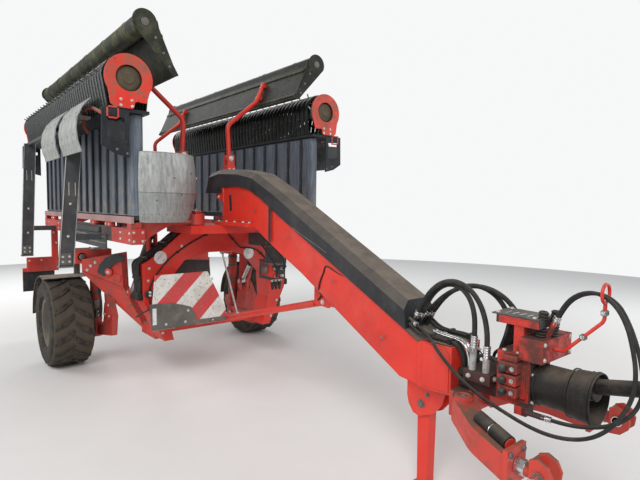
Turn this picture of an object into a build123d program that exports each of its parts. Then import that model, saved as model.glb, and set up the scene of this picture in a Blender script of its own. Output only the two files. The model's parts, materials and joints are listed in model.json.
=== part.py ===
from build123d import *
from math import cos, pi, radians, sin, tan
import os

os.makedirs("parts", exist_ok=True)

# A towed belt merger, folded: each pickup head lies fore and aft with its belt on edge.
# X runs forward to the tractor, Y to the machine's left and Z up from the ground, all in mm.
# What stands on both sides is drawn on the left and mirrored about the plane Y = 0.

# Heads: the place of the pickup reel and of the belt beneath it
HEAD_FRONT = -83
HEAD_LENGTH = 3850
HEAD_REAR = HEAD_FRONT - HEAD_LENGTH
REEL_Y = 1108
REEL_Z = 2943
BELT_INNER = 935
BELT_OUTER = 1085
BELT_TOP = 2650
BELT_BOTTOM = 1760
BELT_THICK = 8
BELT_INSET = 45
SLAT_HEIGHT = 22
SLAT_WIDTH = 34
SLAT_COUNT = 14
RUN_GAP = 0.3
MOVE_GAP = 6
FIT_GAP = 0.05

# Pickup: bands over a tined reel, between two end plates
BAND_RADIUS = 207
BAND_THICK = 5
BAND_COUNT = 46
BAND_GAP = 20
TINE_REACH = 250
TINE_WIDTH = 8
TINE_ROWS = 4
TINE_COUNT = 23
REEL_TUBE = 60
REEL_BAR = 150
BAR_RADIUS = 18
SHAFT_RADIUS = 30
PLATE_RADIUS = 205
PLATE_THICK = 12
HUB_RADIUS = 112
HUB_DEPTH = 60
PICKUP_BEAM_Z = 2656
PICKUP_BEAM_HEIGHT = 28
PICKUP_BEAM_OUTER = 1262

# Hood: a panel with a roller along its leading edge
HOOD_ROLLER_Y = 965
HOOD_ROLLER_Z = 3452
HOOD_ROLLER_RADIUS = 92
HOOD_END_RADIUS = 107
HOOD_END_THICK = 10
HOOD_TIP_Y = 686
HOOD_TIP_Z = 3030
HOOD_PANEL_THICK = 30
HOOD_REST = 100
HOOD_SHAFT_RADIUS = 16
HOOD_HINGE_Y = 290
HOOD_HINGE_Z = 2410
HOOD_ARM_RADIUS = 26
HOOD_ARM_STATIONS = (-860, -3100)
HOOD_EYE_HALF = 28
HOOD_PIN_RADIUS = 15

# Head frame: the lower beam's Y and Z limits, and how far the bed stands below the belt
LOWER_BEAM = (965, 1085, 1500, 1640)
BED_DROP = 60
RAIL = (1062, 1085, 1690, 1752)

# Skids on the underside of each head, and the posts beside them
SKID_STATIONS = (-740, -1580)
SKID_LENGTH = 640
# Each post: its X, its top and foot in Z, and the Y of its middle at the top and at the foot
SKID_POSTS = ((-1050, 2420, 1240, 1334, 1429), (-3200, 2640, 1170, 1366, 1430))
POST_WIDTH = 124
POST_THICK = 60

LAMP_X = HEAD_REAR + 333

# Deflector dish at each belt's front end: heights and how far each is drawn in
DISH_X = -425
DISH_Y = 800
DISH_RADIUS = 425
DISH_THICK = 6
DISH_FROM = -78
DISH_TURN = 113
DISH_ROWS = ((1705, 30), (1760, 12), (1880, 0), (2080, 0), (2210, 10), (2330, 26))

# Wheels
TYRE_RADIUS = 505
TYRE_WIDTH = 450
AXLE_X = -1940
AXLE_Z = TYRE_RADIUS
WHEEL_Y = 1262
LUG_HEIGHT = 20
LUG_COUNT = 18
RIM_RADIUS = 262
RIM_FLANGE = 282
RIM_INSET = 45
STUB_RADIUS = 45

# Chassis: an arch across the machine and two wheel arms
ARCH_X = -640
ARCH_DEPTH = 120
ARCH_TOP = 1640
ARM_TIP = (-1120, 587)
ARM_SHOULDER = (-1700, 1088)
ARM_WIDTH = 116
SHOULDER_LOW = 1186
SHOULDER_TOP = 1340
KINGPIN = (-1900, 930)
KINGPIN_RADIUS = 60

# Fender over each wheel: its gap to the tyre, its Y limits and the angles it spans from the front over the top
FENDER_GAP = 28
FENDER_THICK = 8
FENDER_Y = (1044, 1500)
FENDER_FROM = 75
FENDER_TURN = 103

# Lift cylinder: its upper pin, its place along the arm and its sizes
LIFT_TOP = (-715, 690, 1545)
LIFT_FOOT = (-1272, 715, 880)
LIFT_BARREL = 545
LIFT_NECK = 118
LIFT_PIN_RADIUS = 16
LEG_INNER = 872
LEG_OUTER = 932

# Head swing pins, standing on the arch's top
SWING_X = -250
SWING_Y = 420
SWING_TABLE_Z = 1664
SWING_PIN_RADIUS = 40
SWING_EYE_RADIUS = 85
SWING_EYE_HEIGHT = 110

# Drawbar
BEAM_HALF = 130
COVER_HALF = 148
COVER_BEVEL = 50
FOOT_Z = 1690
BEAM_END = 2330

STRUT_PIN_RADIUS = 14

# Hitch
HEAD_FACE = 2580
STAND_X = 2300
STAND_Z = 590
STAND_PIN_RADIUS = 14
LINK_PIN_X = 3290
LINK_PIN_Y = 455
LINK_PIN_FREE = 66
FORK_REAR = 3246
ARM_END = 3150
FORK_HALF = 52
FORK_PLATE = 16
LINK_PIN_Z = 693
LINK_PIN_RADIUS = 18.3
LINK_SHANK_RADIUS = 21
PTO_START = (3080, 0, 940)
PTO_RISE = 12.5
PTO_TUBE_RADIUS = 38
PTO_BORE_RADIUS = 17.5
PTO_STUB_RADIUS = 20
PTO_SEAT = 60
GEAR_FACE = 3040
BOX_FRONT = 3110

# Hoses: the sockets on the valve block and where the holder's ring stands
VALVE_TOP = 940
RING = (3342, 0, 1460)
RING_RADIUS = 46
RING_BAR = 8
THICK_HOSE = 15
THIN_HOSE = 10
SOCKET_WALL = 5

# Route of each hose, from its socket on the beam or the gearbox: points in X, Y and Z
THICK_ROUTES = {
    "hose_arch_a": ((2262, -84, 1172), (2311, -85, 1264), (2374, -88, 1351), (2462, -93, 1415), (2566, -98, 1433),
                    (2666, -104, 1397), (2738, -109, 1319), (2778, -114, 1221), (2792, -117, 1118), (2790, -118, 1020)),
    "hose_arch_b": ((2262, -38, 1158), (2308, -42, 1251), (2370, -45, 1337), (2456, -55, 1397), (2558, -69, 1404),
                    (2646, -88, 1354), (2697, -107, 1266), (2712, -120, 1164), (2710, -124, 1064)),
    "hose_arch_c": ((2262, 10, 1166), (2334, 17, 1252), (2419, 36, 1331), (2524, 64, 1384), (2640, 97, 1389),
                    (2742, 129, 1343), (2814, 156, 1257), (2852, 172, 1154), (2866, 182, 1051), (2865, 185, 963)),
    "hose_arch_d": ((2262, 70, 1154), (2317, 78, 1242), (2389, 92, 1322), (2483, 110, 1376), (2587, 128, 1384),
                    (2679, 146, 1341), (2742, 160, 1260), (2770, 170, 1162), (2773, 174, 1064)),
}
THIN_ROUTES = {
    "hose_loop": ((2268, -112, 1124), (2352, -140, 1106), (2436, -168, 1070), (2526, -190, 998), (2626, -188, 918),
                  (2732, -188, 858), (2840, -184, 812), (2951, -178, 778), (3061, -174, 750), (3167, -168, 738),
                  (3270, -160, 750), (3364, -150, 788), (3435, -140, 855), (3486, -132, 937), (3520, -124, 1035),
                  (3522, -110, 1137), (3496, -86, 1238), (3458, -56, 1335), (3396, -28, 1418), (3312, -15, 1464),
                  (3222, -15, 1446), (3150, -14, 1374), (3112, -14, 1280)),
    "hose_drop": ((3104, 26, 1270), (3138, 26, 1355), (3205, 24, 1428), (3300, 16, 1459), (3392, 8, 1425),
                  (3452, -14, 1340), (3502, -46, 1240), (3537, -76, 1140), (3547, -82, 1035), (3512, -86, 935),
                  (3437, -102, 862), (3337, -126, 824), (3238, -150, 812), (3150, -160, 815)),
}


def block(x0, x1, y0, y1, z0, z1):
    """A box between two values along each axis."""
    middle = Pos((x0 + x1) / 2, (y0 + y1) / 2, (z0 + z1) / 2)
    return middle * Box(abs(x1 - x0), abs(y1 - y0), abs(z1 - z0))


def rod(start, end, radius):
    """A round bar between two points."""
    a, b = Vector(*start), Vector(*end)
    ends = (Align.CENTER, Align.CENTER, Align.MIN)
    return Plane(origin=a, z_dir=b - a) * Cylinder(radius, (b - a).length, align=ends)


def across(points, x0, x1):
    """An outline in Y and Z, drawn out along X from x0 to x1."""
    plane = Plane(origin=(x0, 0, 0), x_dir=(0, 1, 0), z_dir=(1, 0, 0))
    return extrude(plane * make_face(Polyline(*points, close=True)), x1 - x0)


def along(points, y0, y1):
    """An outline in X and Z, drawn out along Y from y0 to y1."""
    plane = Plane(origin=(0, y1, 0), x_dir=(1, 0, 0), z_dir=(0, -1, 0))
    return extrude(plane * make_face(Polyline(*points, close=True)), y1 - y0)


def disc(centre, radius, x0, x1):
    """A round plate square to X about a centre in Y and Z."""
    return rod((x0, centre[0], centre[1]), (x1, centre[0], centre[1]), radius)


def beam(start, end, width, depth):
    """A box bar between two points, its depth lying as near to upright as it can."""
    a, b = Vector(*start), Vector(*end)
    side = (b - a).cross(Vector(0, 0, 1)).normalized()
    ends = (Align.CENTER, Align.CENTER, Align.MIN)
    return Plane(origin=a, x_dir=side, z_dir=b - a) * Box(width, depth, (b - a).length, align=ends)


def bent_tube(points, radii, radius):
    """A round bar along straight runs with an arc at each corner."""
    path = FilletPolyline(*points, radius=radii)
    start = Plane(origin=path @ 0, z_dir=path % 0)
    return sweep(start * Circle(radius), path=path)


def write(name, shape):
    """Writes one piece, or a list of pieces that don't touch."""
    solids = shape if isinstance(shape, list) else [shape]
    whole = Compound(children=[s for one in solids for s in one.solids()])
    whole.label = name
    export_step(whole, f"parts/{name}.step")


def write_pair(name, shape):
    """Writes the left piece and its mirror image on the right."""
    solids = shape if isinstance(shape, list) else [shape]
    write(f"{name}_left", solids)
    write(f"{name}_right", [mirror(one, about=Plane.XZ) for one in solids])


# Pickup head, left side


def belt():
    middle = (BELT_INNER + BELT_OUTER) / 2
    outer = (BELT_OUTER - BELT_INNER) / 2 - SLAT_HEIGHT
    inner = outer - BELT_THICK
    end = outer + SLAT_HEIGHT
    front, rear = HEAD_FRONT - end - BELT_INSET, HEAD_REAR + end + BELT_INSET
    height = BELT_TOP - BELT_BOTTOM
    plane = Plane(origin=((front + rear) / 2, middle, BELT_BOTTOM))
    loop = SlotCenterToCenter(front - rear, 2 * outer) - SlotCenterToCenter(front - rear, 2 * inner)
    ring = extrude(plane * loop, height)
    pitch = (front - rear) / SLAT_COUNT
    for i in range(SLAT_COUNT):
        x = front - (i + 0.5) * pitch
        for y0, y1 in ((middle + outer - 1, BELT_OUTER), (BELT_INNER, middle - outer + 1)):
            ring += block(x - SLAT_WIDTH / 2, x + SLAT_WIDTH / 2, y0, y1, BELT_BOTTOM + 15, BELT_TOP - 15)
    return ring


def pickup_frame():
    """The bed and rollers inside the belt, the beam under the bands and the reel's hub cups."""
    middle = (BELT_INNER + BELT_OUTER) / 2
    outer = (BELT_OUTER - BELT_INNER) / 2 - SLAT_HEIGHT
    inner = outer - BELT_THICK
    end = outer + SLAT_HEIGHT
    front, rear = HEAD_FRONT - end - BELT_INSET, HEAD_REAR + end + BELT_INSET
    bed = block(rear, front, middle - inner + 12, middle + inner - 12, BELT_BOTTOM - BED_DROP, PICKUP_BEAM_Z)
    for x in (front, rear):
        bed += rod((x, middle, BELT_BOTTOM - 40), (x, middle, BELT_TOP), inner - RUN_GAP)
    top = PICKUP_BEAM_Z + PICKUP_BEAM_HEIGHT
    bed += block(HEAD_REAR + PLATE_THICK, HEAD_FRONT - PLATE_THICK, 930, PICKUP_BEAM_OUTER, PICKUP_BEAM_Z, top)
    for x0, inward in ((HEAD_FRONT - PLATE_THICK, -1), (HEAD_REAR + PLATE_THICK, 1)):
        cup = disc((REEL_Y, REEL_Z), HUB_RADIUS + 14, x0, x0 + inward * HUB_DEPTH)
        cup -= disc((REEL_Y, REEL_Z), HUB_RADIUS, x0, x0 + inward * (HUB_DEPTH - 14))
        cup -= disc((REEL_Y, REEL_Z), SHAFT_RADIUS + FIT_GAP, x0, x0 + inward * HUB_DEPTH)
        bed += cup
        bed += block(x0, x0 + inward * HUB_DEPTH, REEL_Y - 40, REEL_Y + 40, top - 1, REEL_Z - HUB_RADIUS - 6)
    corners = [(1113, 2264), (1236, 2295), (1345, 2360), (1338, top - 8), (PICKUP_BEAM_OUTER, top - 4), (1113, top - 24)]
    window = [(1150, 2420), (1290, 2440), (1290, 2610), (1150, 2600)]
    for x0, x1 in ((HEAD_FRONT - PLATE_THICK, HEAD_FRONT), (HEAD_REAR, HEAD_REAR + PLATE_THICK)):
        bed += across(corners, x0, x1) - across(window, x0, x1)
    return bed


def end_plates():
    """Round plates with a lower lobe and a notch, one at each end of the reel."""
    y, z, low = REEL_Y, REEL_Z, PICKUP_BEAM_Z + PICKUP_BEAM_HEIGHT
    lobe = [(y - 178, z - 100), (y - 150, 2748), (y - 92, 2748), (y - 72, 2768), (y - 52, 2760)]
    lobe += [(y - 44, 2712), (y - 30, low + 2), (y + 120, low + 2), (y + 156, 2712), (y + 176, z - 100)]
    both = []
    for x0, x1 in ((HEAD_FRONT - PLATE_THICK, HEAD_FRONT), (HEAD_REAR, HEAD_REAR + PLATE_THICK)):
        plate = disc((y, z), PLATE_RADIUS, x0, x1) + across(lobe, x0, x1)
        both.append(plate - disc((y, z), HUB_RADIUS, x0, x1))
    return both


def bands():
    """Stripper bands: each rises from the beam, goes round the reel and comes down to the belt."""
    low = PICKUP_BEAM_Z + PICKUP_BEAM_HEIGHT
    first = HEAD_FRONT - PLATE_THICK - HUB_DEPTH - MOVE_GAP
    pitch = (HEAD_LENGTH - 2 * (PLATE_THICK + HUB_DEPTH + MOVE_GAP)) / BAND_COUNT
    turns = [radians(a) for a in (8, 40, 70, 110, 140, 172)]

    def side(radius, leg):
        arc = [(REEL_Y + radius * cos(a), REEL_Z + radius * sin(a)) for a in turns]
        return [(REEL_Y + 152 + leg, low)] + arc + [(REEL_Y - 176 - leg, low)]

    outline = side(BAND_RADIUS, BAND_THICK) + side(BAND_RADIUS - BAND_THICK, 0)[::-1]
    one = across(outline, -(pitch - BAND_GAP) / 2, (pitch - BAND_GAP) / 2)
    return [Pos(first - (i + 0.5) * pitch, 0, 0) * one for i in range(BAND_COUNT)]


def reel():
    """The tined reel: a tube on a shaft, bars carried by spiders, and tines in every second gap."""
    inset = PLATE_THICK + HUB_DEPTH
    front, rear = HEAD_FRONT - inset - MOVE_GAP, HEAD_REAR + inset + MOVE_GAP
    axis = (REEL_Y, REEL_Z)
    body = disc(axis, REEL_TUBE, rear, front)
    body += disc(axis, SHAFT_RADIUS, HEAD_REAR + inset - 14, HEAD_FRONT - inset + 14)
    stations = [front - 20, (front + rear) / 2, rear + 20]
    for x in stations:
        body += disc(axis, REEL_BAR, x - 5, x + 5)
    pitch = (HEAD_LENGTH - 2 * (inset + MOVE_GAP)) / BAND_COUNT
    step = pitch * BAND_COUNT / TINE_COUNT
    for row in range(TINE_ROWS):
        turn = Pos(0, *axis) * Rot(360 / TINE_ROWS * row + 20, 0, 0)
        bar = turn * block(rear + 5, front - 5, -BAR_RADIUS, BAR_RADIUS, REEL_BAR - 40, REEL_BAR - 15)
        body += bar
        for i in range(TINE_COUNT - 1):
            x = front - (i + 1) * step
            tine = block(x - TINE_WIDTH / 2, x + TINE_WIDTH / 2, -6, 6, REEL_BAR - 20, TINE_REACH)
            body += turn * tine
    return body


def hood_outline(grow):
    """The hood's side view: round at the roller and tapering to the tip over the belt."""
    y, z, r = HOOD_ROLLER_Y, HOOD_ROLLER_Z, HOOD_END_RADIUS + grow
    arc = [(y + r * cos(radians(a)), z + r * sin(radians(a))) for a in range(-30, 211, 20)]
    return arc + [(HOOD_TIP_Y - 22, HOOD_TIP_Z + 10), (HOOD_TIP_Y, HOOD_TIP_Z), (HOOD_TIP_Y + 30, HOOD_TIP_Z + 4)]


def hood():
    """Two end plates and a bent panel between the roller and the tip."""
    y, z = HOOD_ROLLER_Y, HOOD_ROLLER_Z
    inset = HOOD_END_THICK
    plates = [(HEAD_FRONT - inset, HEAD_FRONT), (HEAD_REAR, HEAD_REAR + inset)]
    gap = HOOD_REST
    inner = [(y - gap - 4, z + 30), (y - gap, z - 40), (HOOD_TIP_Y + 4, HOOD_TIP_Z + 6)]
    outer = [(HOOD_TIP_Y - 18, HOOD_TIP_Z + 12), (y - gap - HOOD_PANEL_THICK, z - 30), (y - gap - 16, z + 34)]
    shell = across(inner + outer, HEAD_REAR + inset, HEAD_FRONT - inset)
    for x0, x1 in plates:
        plate = across(hood_outline(0), x0, x1)
        plate -= disc((y, z), HOOD_SHAFT_RADIUS + FIT_GAP, x0, x1)
        shell += plate
    return shell


def hood_roller():
    axis = (HOOD_ROLLER_Y, HOOD_ROLLER_Z)
    inset = HOOD_END_THICK + MOVE_GAP
    roller = disc(axis, HOOD_ROLLER_RADIUS, HEAD_REAR + inset, HEAD_FRONT - inset)
    return roller + disc(axis, HOOD_SHAFT_RADIUS, HEAD_REAR, HEAD_FRONT)


def hood_back(z):
    """The Y of the hood panel's back at a height."""
    low, high = (HOOD_TIP_Y - 18, HOOD_TIP_Z + 12), (HOOD_ROLLER_Y - HOOD_REST - HOOD_PANEL_THICK, HOOD_ROLLER_Z - 30)
    return low[0] + (high[0] - low[0]) * (z - low[1]) / (high[1] - low[1])


def hood_arms():
    """Bent tubes from the hinge up and outwards, clamped along the back of the hood's panel."""
    both = []
    for x in HOOD_ARM_STATIONS:
        y, z = HOOD_HINGE_Y, HOOD_HINGE_Z
        bend, top = HOOD_TIP_Z + 90, HOOD_ROLLER_Z - 102
        route = [(x, y, z), (x, y - 18, z + 380), (x, hood_back(bend) - 34, bend), (x, hood_back(top) - 34, top)]
        arm = disc((y, z), 42, x - HOOD_EYE_HALF, x + HOOD_EYE_HALF)
        arm += bent_tube(route, [110, 90], HOOD_ARM_RADIUS)
        for low in (HOOD_TIP_Z + 105, HOOD_ROLLER_Z - 162):
            clamp = [(hood_back(low), low), (hood_back(low + 44), low + 44)]
            clamp += [(hood_back(low + 44) - 50, low + 52), (hood_back(low) - 50, low + 8)]
            arm += across(clamp, x - 34, x + 34)
        arm -= disc((y, z), HOOD_PIN_RADIUS + FIT_GAP, x - 30, x + 30)
        both.append(arm)
    return both


def head_frame():
    """The red beam below the belt, the swing eye and the posts that carry the hood's hinges."""
    y0, y1, z0, z1 = LOWER_BEAM
    frame = block(HEAD_REAR + 60, HEAD_FRONT - 60, y0, y1, z0, z1)
    for x in (HEAD_FRONT - 130, -1300, -2500, HEAD_REAR + 130):
        frame += block(x - 50, x + 50, 985, 1035, z1 - 1, BELT_BOTTOM - BED_DROP)
        frame += block(x - 50, x + 50, 1034, RAIL[1], z1 - 1, RAIL[2] + 6)
    frame += block(HEAD_REAR + 60, HEAD_FRONT - 60, *RAIL)
    for x in HOOD_ARM_STATIONS:
        cross = [(y0 + 10, z1 - 10), (y0 + 10, 1720), (HOOD_HINGE_Y + 70, 1800), (HOOD_HINGE_Y - 60, 1800)]
        cross += [(HOOD_HINGE_Y - 60, 1700), (580, 1690), (y0 + 10, z0 + 20)]
        frame += across(cross, x - 55, x + 55)
        frame += block(x - 50, x + 50, HOOD_HINGE_Y - 55, HOOD_HINGE_Y + 55, 1795, 2330)
        for side in (-1, 1):
            inner, outer = x + side * (HOOD_EYE_HALF + 2), x + side * 50
            frame += block(inner, outer, HOOD_HINGE_Y - 45, HOOD_HINGE_Y + 45, 2320, 2450)
        frame += disc((HOOD_HINGE_Y, HOOD_HINGE_Z), HOOD_PIN_RADIUS, x - 50, x + 50)
    eye_low = SWING_TABLE_Z + MOVE_GAP
    eye_top = eye_low + SWING_EYE_HEIGHT
    frame += rod((SWING_X, SWING_Y, eye_low), (SWING_X, SWING_Y, eye_top), SWING_EYE_RADIUS)
    link = [(-880, 1700), (-880, eye_top), (SWING_X, eye_top), (SWING_X, eye_low + 6), (-700, 1690)]
    frame += along(link, SWING_Y - 55, SWING_Y + 55)
    front = [(SWING_Y, eye_low + 10), (SWING_Y, eye_top), (y0 - 1, 1714), (y0 + 5, z1), (y0 + 5, z0 + 20), (700, eye_low)]
    frame += across(front, SWING_X - 60, SWING_X + 40)
    frame += block(-300, -240, 585, 631, eye_top - 40, 2060)
    rib = block(-300, 0, 600, 616, 1900, 2060)
    rib &= rod((DISH_X, DISH_Y, 1700), (DISH_X, DISH_Y, 2070), DISH_RADIUS - DISH_THICK - RUN_GAP)
    frame += rib
    frame -= rod((SWING_X, SWING_Y, eye_low - 1), (SWING_X, SWING_Y, 1900), SWING_PIN_RADIUS + FIT_GAP)
    return frame


def skid_shoes():
    """Worn bowed shoes on the belt's underside, now its outer side, each on a bracket."""
    both = []
    rows = [(1336, 2800), (1408, 2716), (1450, 2620), (1462, 2530), (1452, 2420), (1420, 2330)]
    back = [(1412, 2330), (1444, 2420), (1454, 2530), (1442, 2617), (1401, 2711), (1330, 2794)]
    for x in SKID_STATIONS:
        shoe = across(rows + back, x - SKID_LENGTH / 2, x + SKID_LENGTH / 2)
        low = PICKUP_BEAM_Z
        arm = [(PICKUP_BEAM_OUTER, low), (PICKUP_BEAM_OUTER, low + 24), (1422, low + 24), (1430, low)]
        both.append(shoe + across(arm, x - 60, x + 60))
    return both


def skid_posts():
    """Dark posts that lean outwards to their foot, the rear one with a bar along to the second shoe."""
    both = []
    for x, top, foot, y_top, y_foot in SKID_POSTS:
        half = POST_WIDTH / 2
        side = [(y_top - half, top), (y_top + half, top), (y_foot + half, foot), (y_foot - half, foot)]
        post = across(side, x - POST_THICK / 2, x + POST_THICK / 2)
        hanger = block(x - POST_THICK / 2, x + POST_THICK / 2, LOWER_BEAM[1], y_foot - half + 40, 1500, 1560)
        both.append(post + hanger)
    x, top, _, y_top, _ = SKID_POSTS[1]
    low = PICKUP_BEAM_Z - 36
    both[1] += block(x, SKID_STATIONS[1] + 60, y_top - 4, y_top + 22, low, PICKUP_BEAM_Z)
    both[1] += block(x - POST_THICK / 2, x + POST_THICK / 2, y_top - POST_WIDTH / 2, y_top + 22, low, PICKUP_BEAM_Z)
    return both


def dish():
    """A bowed deflector round the belt's front end, full at mid height and drawn in above and below."""
    rows = [(DISH_RADIUS - drawn, z) for z, drawn in DISH_ROWS]
    rows += [(r - DISH_THICK, z) for r, z in rows[::-1]]
    plane = Plane(origin=(DISH_X, DISH_Y, 0), x_dir=(cos(radians(DISH_FROM)), sin(radians(DISH_FROM)), 0),
                  z_dir=(sin(radians(DISH_FROM)), -cos(radians(DISH_FROM)), 0))
    face = plane * make_face(Polyline(*rows, close=True))
    sheet = revolve(face, Axis((DISH_X, DISH_Y, 0), (0, 0, 1)), DISH_TURN)
    return sheet - across([(300, 1600), (300, 2040), (400, 2040), (590, 1700), (590, 1600)], -600, 20)


# Wheels and what carries them, left side


def arm_plane():
    """The upright plane of the arm, from its tip out to its shoulder, and the arm's length along it."""
    tip, shoulder = Vector(*ARM_TIP), Vector(*ARM_SHOULDER)
    run = (shoulder - tip).normalized()
    return Plane(origin=tip, x_dir=run, z_dir=Vector(run.Y, -run.X, 0)), (shoulder - tip).length


def wheel_arm():
    """The arm from the arch's foot up and out over the tyre, the lower link, the kingpin and the stub axle."""
    plane, reach = arm_plane()
    plate = [(-8, 456), (264, 940), (283, 1328), (reach, 1235), (reach, 1086)]
    arm = extrude(plane * make_face(Polyline(*plate, close=True)), ARM_WIDTH / 2, both=True)
    foot = lift_ends()[1]
    arm -= block(foot.X - 46, foot.X + 200, foot.Y - 28, foot.Y + 28, foot.Z - 46, foot.Z + 500)
    arm += lift_clevis(foot, foot.Z - 110)
    arm += block(-1160, ARCH_X - ARCH_DEPTH, 545, 645, 440, 560)
    arm += block(KINGPIN[0] - 100, ARM_SHOULDER[0] + 10, 800, 1190, SHOULDER_LOW, SHOULDER_TOP)
    link = [(-1560, 960), (-1380, 830), (-1240, 640), (-1290, 410), (KINGPIN[0], 300), (KINGPIN[0], 420), (-1620, 470)]
    link += [(-1520, 700)]
    arm += along(link, LEG_INNER, LEG_OUTER)
    arm += rod((*KINGPIN, 290), (*KINGPIN, 440), KINGPIN_RADIUS + 16)
    arm += rod((*KINGPIN, 300), (*KINGPIN, SHOULDER_LOW + 1), KINGPIN_RADIUS)
    arm += rod((AXLE_X, KINGPIN[1] - 60, AXLE_Z), (AXLE_X, KINGPIN[1] + 90, AXLE_Z), STUB_RADIUS + 40)
    arm += rod((AXLE_X, KINGPIN[1], AXLE_Z), (AXLE_X, WHEEL_Y + 60, AXLE_Z), STUB_RADIUS)
    return arm


def fender():
    """A sheet over the tyre from ahead of its top back to the axle's height, hung from the arm's shoulder."""
    low = TYRE_RADIUS + FENDER_GAP
    angle = radians(FENDER_FROM)
    out = Vector(cos(angle), 0, sin(angle))
    centre = Vector(AXLE_X, 0, AXLE_Z)
    plane = Plane(origin=centre, x_dir=out, z_dir=out.cross(Vector(0, 1, 0)))
    high = low + FENDER_THICK
    y0, y1 = FENDER_Y
    rows = [(low - 14, y1), (low - 14, y1 - 4), (low, y1 - 12), (low, y0), (high, y0), (high, y1 - 6), (low + 2, y1)]
    face = plane * make_face(Polyline(*rows, close=True))
    sheet = revolve(face, Axis(centre, (0, -1, 0)), FENDER_TURN)
    hanger = block(AXLE_X - 20, AXLE_X + 20, 1090, 1150, AXLE_Z + high - 3, SHOULDER_LOW)
    return sheet + hanger


def rim():
    """A dished wheel with a hub that turns on the stub axle."""
    half = TYRE_WIDTH / 2 - RIM_INSET
    rows = [(STUB_RADIUS + FIT_GAP, -120), (95, -120), (95, -20), (215, 20), (238, -half), (RIM_FLANGE, -half)]
    rows += [(RIM_FLANGE, -half + 14), (RIM_RADIUS - 8, -half + 30), (RIM_RADIUS - 8, half - 30)]
    rows += [(RIM_FLANGE, half - 14), (RIM_FLANGE, half), (238, half), (225, 40), (95, 12), (95, 60)]
    rows += [(STUB_RADIUS + FIT_GAP, 60)]
    face = make_face(Polyline(*[(r, y, 0) for r, y in rows], close=True))
    return Pos(AXLE_X, WHEEL_Y, AXLE_Z) * revolve(face, Axis.Y)


def tyre():
    """A wide tyre with two rows of bent lugs that reach its full radius."""
    half, rim_half = TYRE_WIDTH / 2, TYRE_WIDTH / 2 - RIM_INSET
    seat, lip, r = RIM_RADIUS - 8 + RUN_GAP, RIM_FLANGE + 0.6, TYRE_RADIUS - LUG_HEIGHT
    side = [(seat, rim_half - 31), (lip, rim_half - 14.5), (lip, rim_half + 6), (305, half - 10), (390, half)]
    side += [(r - 50, half - 6), (r - 6, half - 32), (r, half - 80)]
    rows = side + [(q, -y) for q, y in side[::-1]]
    carcass = revolve(make_face(Polyline(*[(q, y, 0) for q, y in rows], close=True)), Axis.Y)
    outer = [(-30, 8), (46, 96), (92, half - 26), (40, half - 26), (-4, 112), (-84, 8)]
    lug = extrude(Pos(0, 0, r - 12) * make_face(Polyline(*[(x, y) for x, y in outer], close=True)), LUG_HEIGHT + 12)
    slope = [(0, half - 90, TYRE_RADIUS + 1), (0, half - 24, TYRE_RADIUS - 26), (0, half, TYRE_RADIUS - 26)]
    slope += [(0, half, TYRE_RADIUS + 1)]
    lug &= Rot(90, 0, 0) * Cylinder(TYRE_RADIUS, TYRE_WIDTH)
    lug -= Pos(-100, 0, 0) * extrude(make_face(Polyline(*slope, close=True)), 250, dir=(1, 0, 0))
    other = Rot(0, 180 / LUG_COUNT, 0) * mirror(lug, about=Plane.XZ)
    for i in range(LUG_COUNT):
        turn = Rot(0, 180 + 360 / LUG_COUNT * i, 0)
        carcass += [turn * lug, turn * other]
    return Pos(AXLE_X, WHEEL_Y, AXLE_Z) * carcass


def lift_ends():
    """The cylinder's upper pin on the arch and its lower pin in the arm's slot."""
    return Vector(*LIFT_TOP), Vector(*LIFT_FOOT)


def lift_eye(point, radius):
    """A cylinder's end eye about a pin that runs across the machine."""
    return rod((point.X, point.Y - 25, point.Z), (point.X, point.Y + 25, point.Z), radius)


def lift_bore(point):
    return rod((point.X, point.Y - 60, point.Z), (point.X, point.Y + 60, point.Z), LIFT_PIN_RADIUS + FIT_GAP)


def lift_barrel():
    top, foot = lift_ends()
    down = (foot - top).normalized()
    barrel = rod(top + down * LIFT_NECK, top + down * LIFT_BARREL, 46)
    return barrel + rod(top + down * 20, top + down * (LIFT_NECK + 1), 22) + lift_eye(top, 36) - lift_bore(top)


def lift_rod():
    top, foot = lift_ends()
    down = (foot - top).normalized()
    return rod(top + down * LIFT_BARREL, foot - down * 20, 24) + lift_eye(foot, 36) - lift_bore(foot)


def lift_clevis(point, low):
    """Two ears on either side of a cylinder's eye, with its pin, reaching down to a height."""
    ears = rod((point.X, point.Y - 46, point.Z), (point.X, point.Y + 46, point.Z), LIFT_PIN_RADIUS)
    for side in (-1, 1):
        y0, y1 = sorted((point.Y + side * 28, point.Y + side * 46))
        ears += rod((point.X, y0, point.Z), (point.X, y1, point.Z), 40)
        ears += block(point.X - 40, point.X + 40, y0, y1, low, point.Z)
    return ears


# Middle of the machine


def chassis_arch():
    """The arch that joins the wheel arms, with a table on top for the swing pins."""
    x0, x1 = ARCH_X - ARCH_DEPTH, ARCH_X + ARCH_DEPTH
    outer = [(370, ARCH_TOP), (700, 1370), (860, 1270), (850, 900), (640, 470)]
    inner = [(540, 470), (620, 800), (600, 1080), (420, 1290), (150, 1360)]
    half = outer + inner
    outline = half + [(-y, z) for y, z in half[::-1]]
    arch = across(outline, x0, x1)
    arch += block(x0, SWING_X + 90, -510, 510, ARCH_TOP - 60, SWING_TABLE_Z)
    arch += block(x0, x0 + 90, -660, 660, 520, 610)
    ears = lift_clevis(lift_ends()[0], 1380)
    arch += ears + mirror(ears, about=Plane.XZ)
    for side in (-1, 1):
        low = (SWING_X, side * SWING_Y, SWING_TABLE_Z - 1)
        high = (SWING_X, side * SWING_Y, SWING_TABLE_Z + MOVE_GAP + SWING_EYE_HEIGHT + 8)
        arch += rod(low, high, SWING_PIN_RADIUS)
        cap = (SWING_X, side * SWING_Y, high[2] + 16)
        arch += rod(high, cap, SWING_PIN_RADIUS + 18)
    return arch


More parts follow.
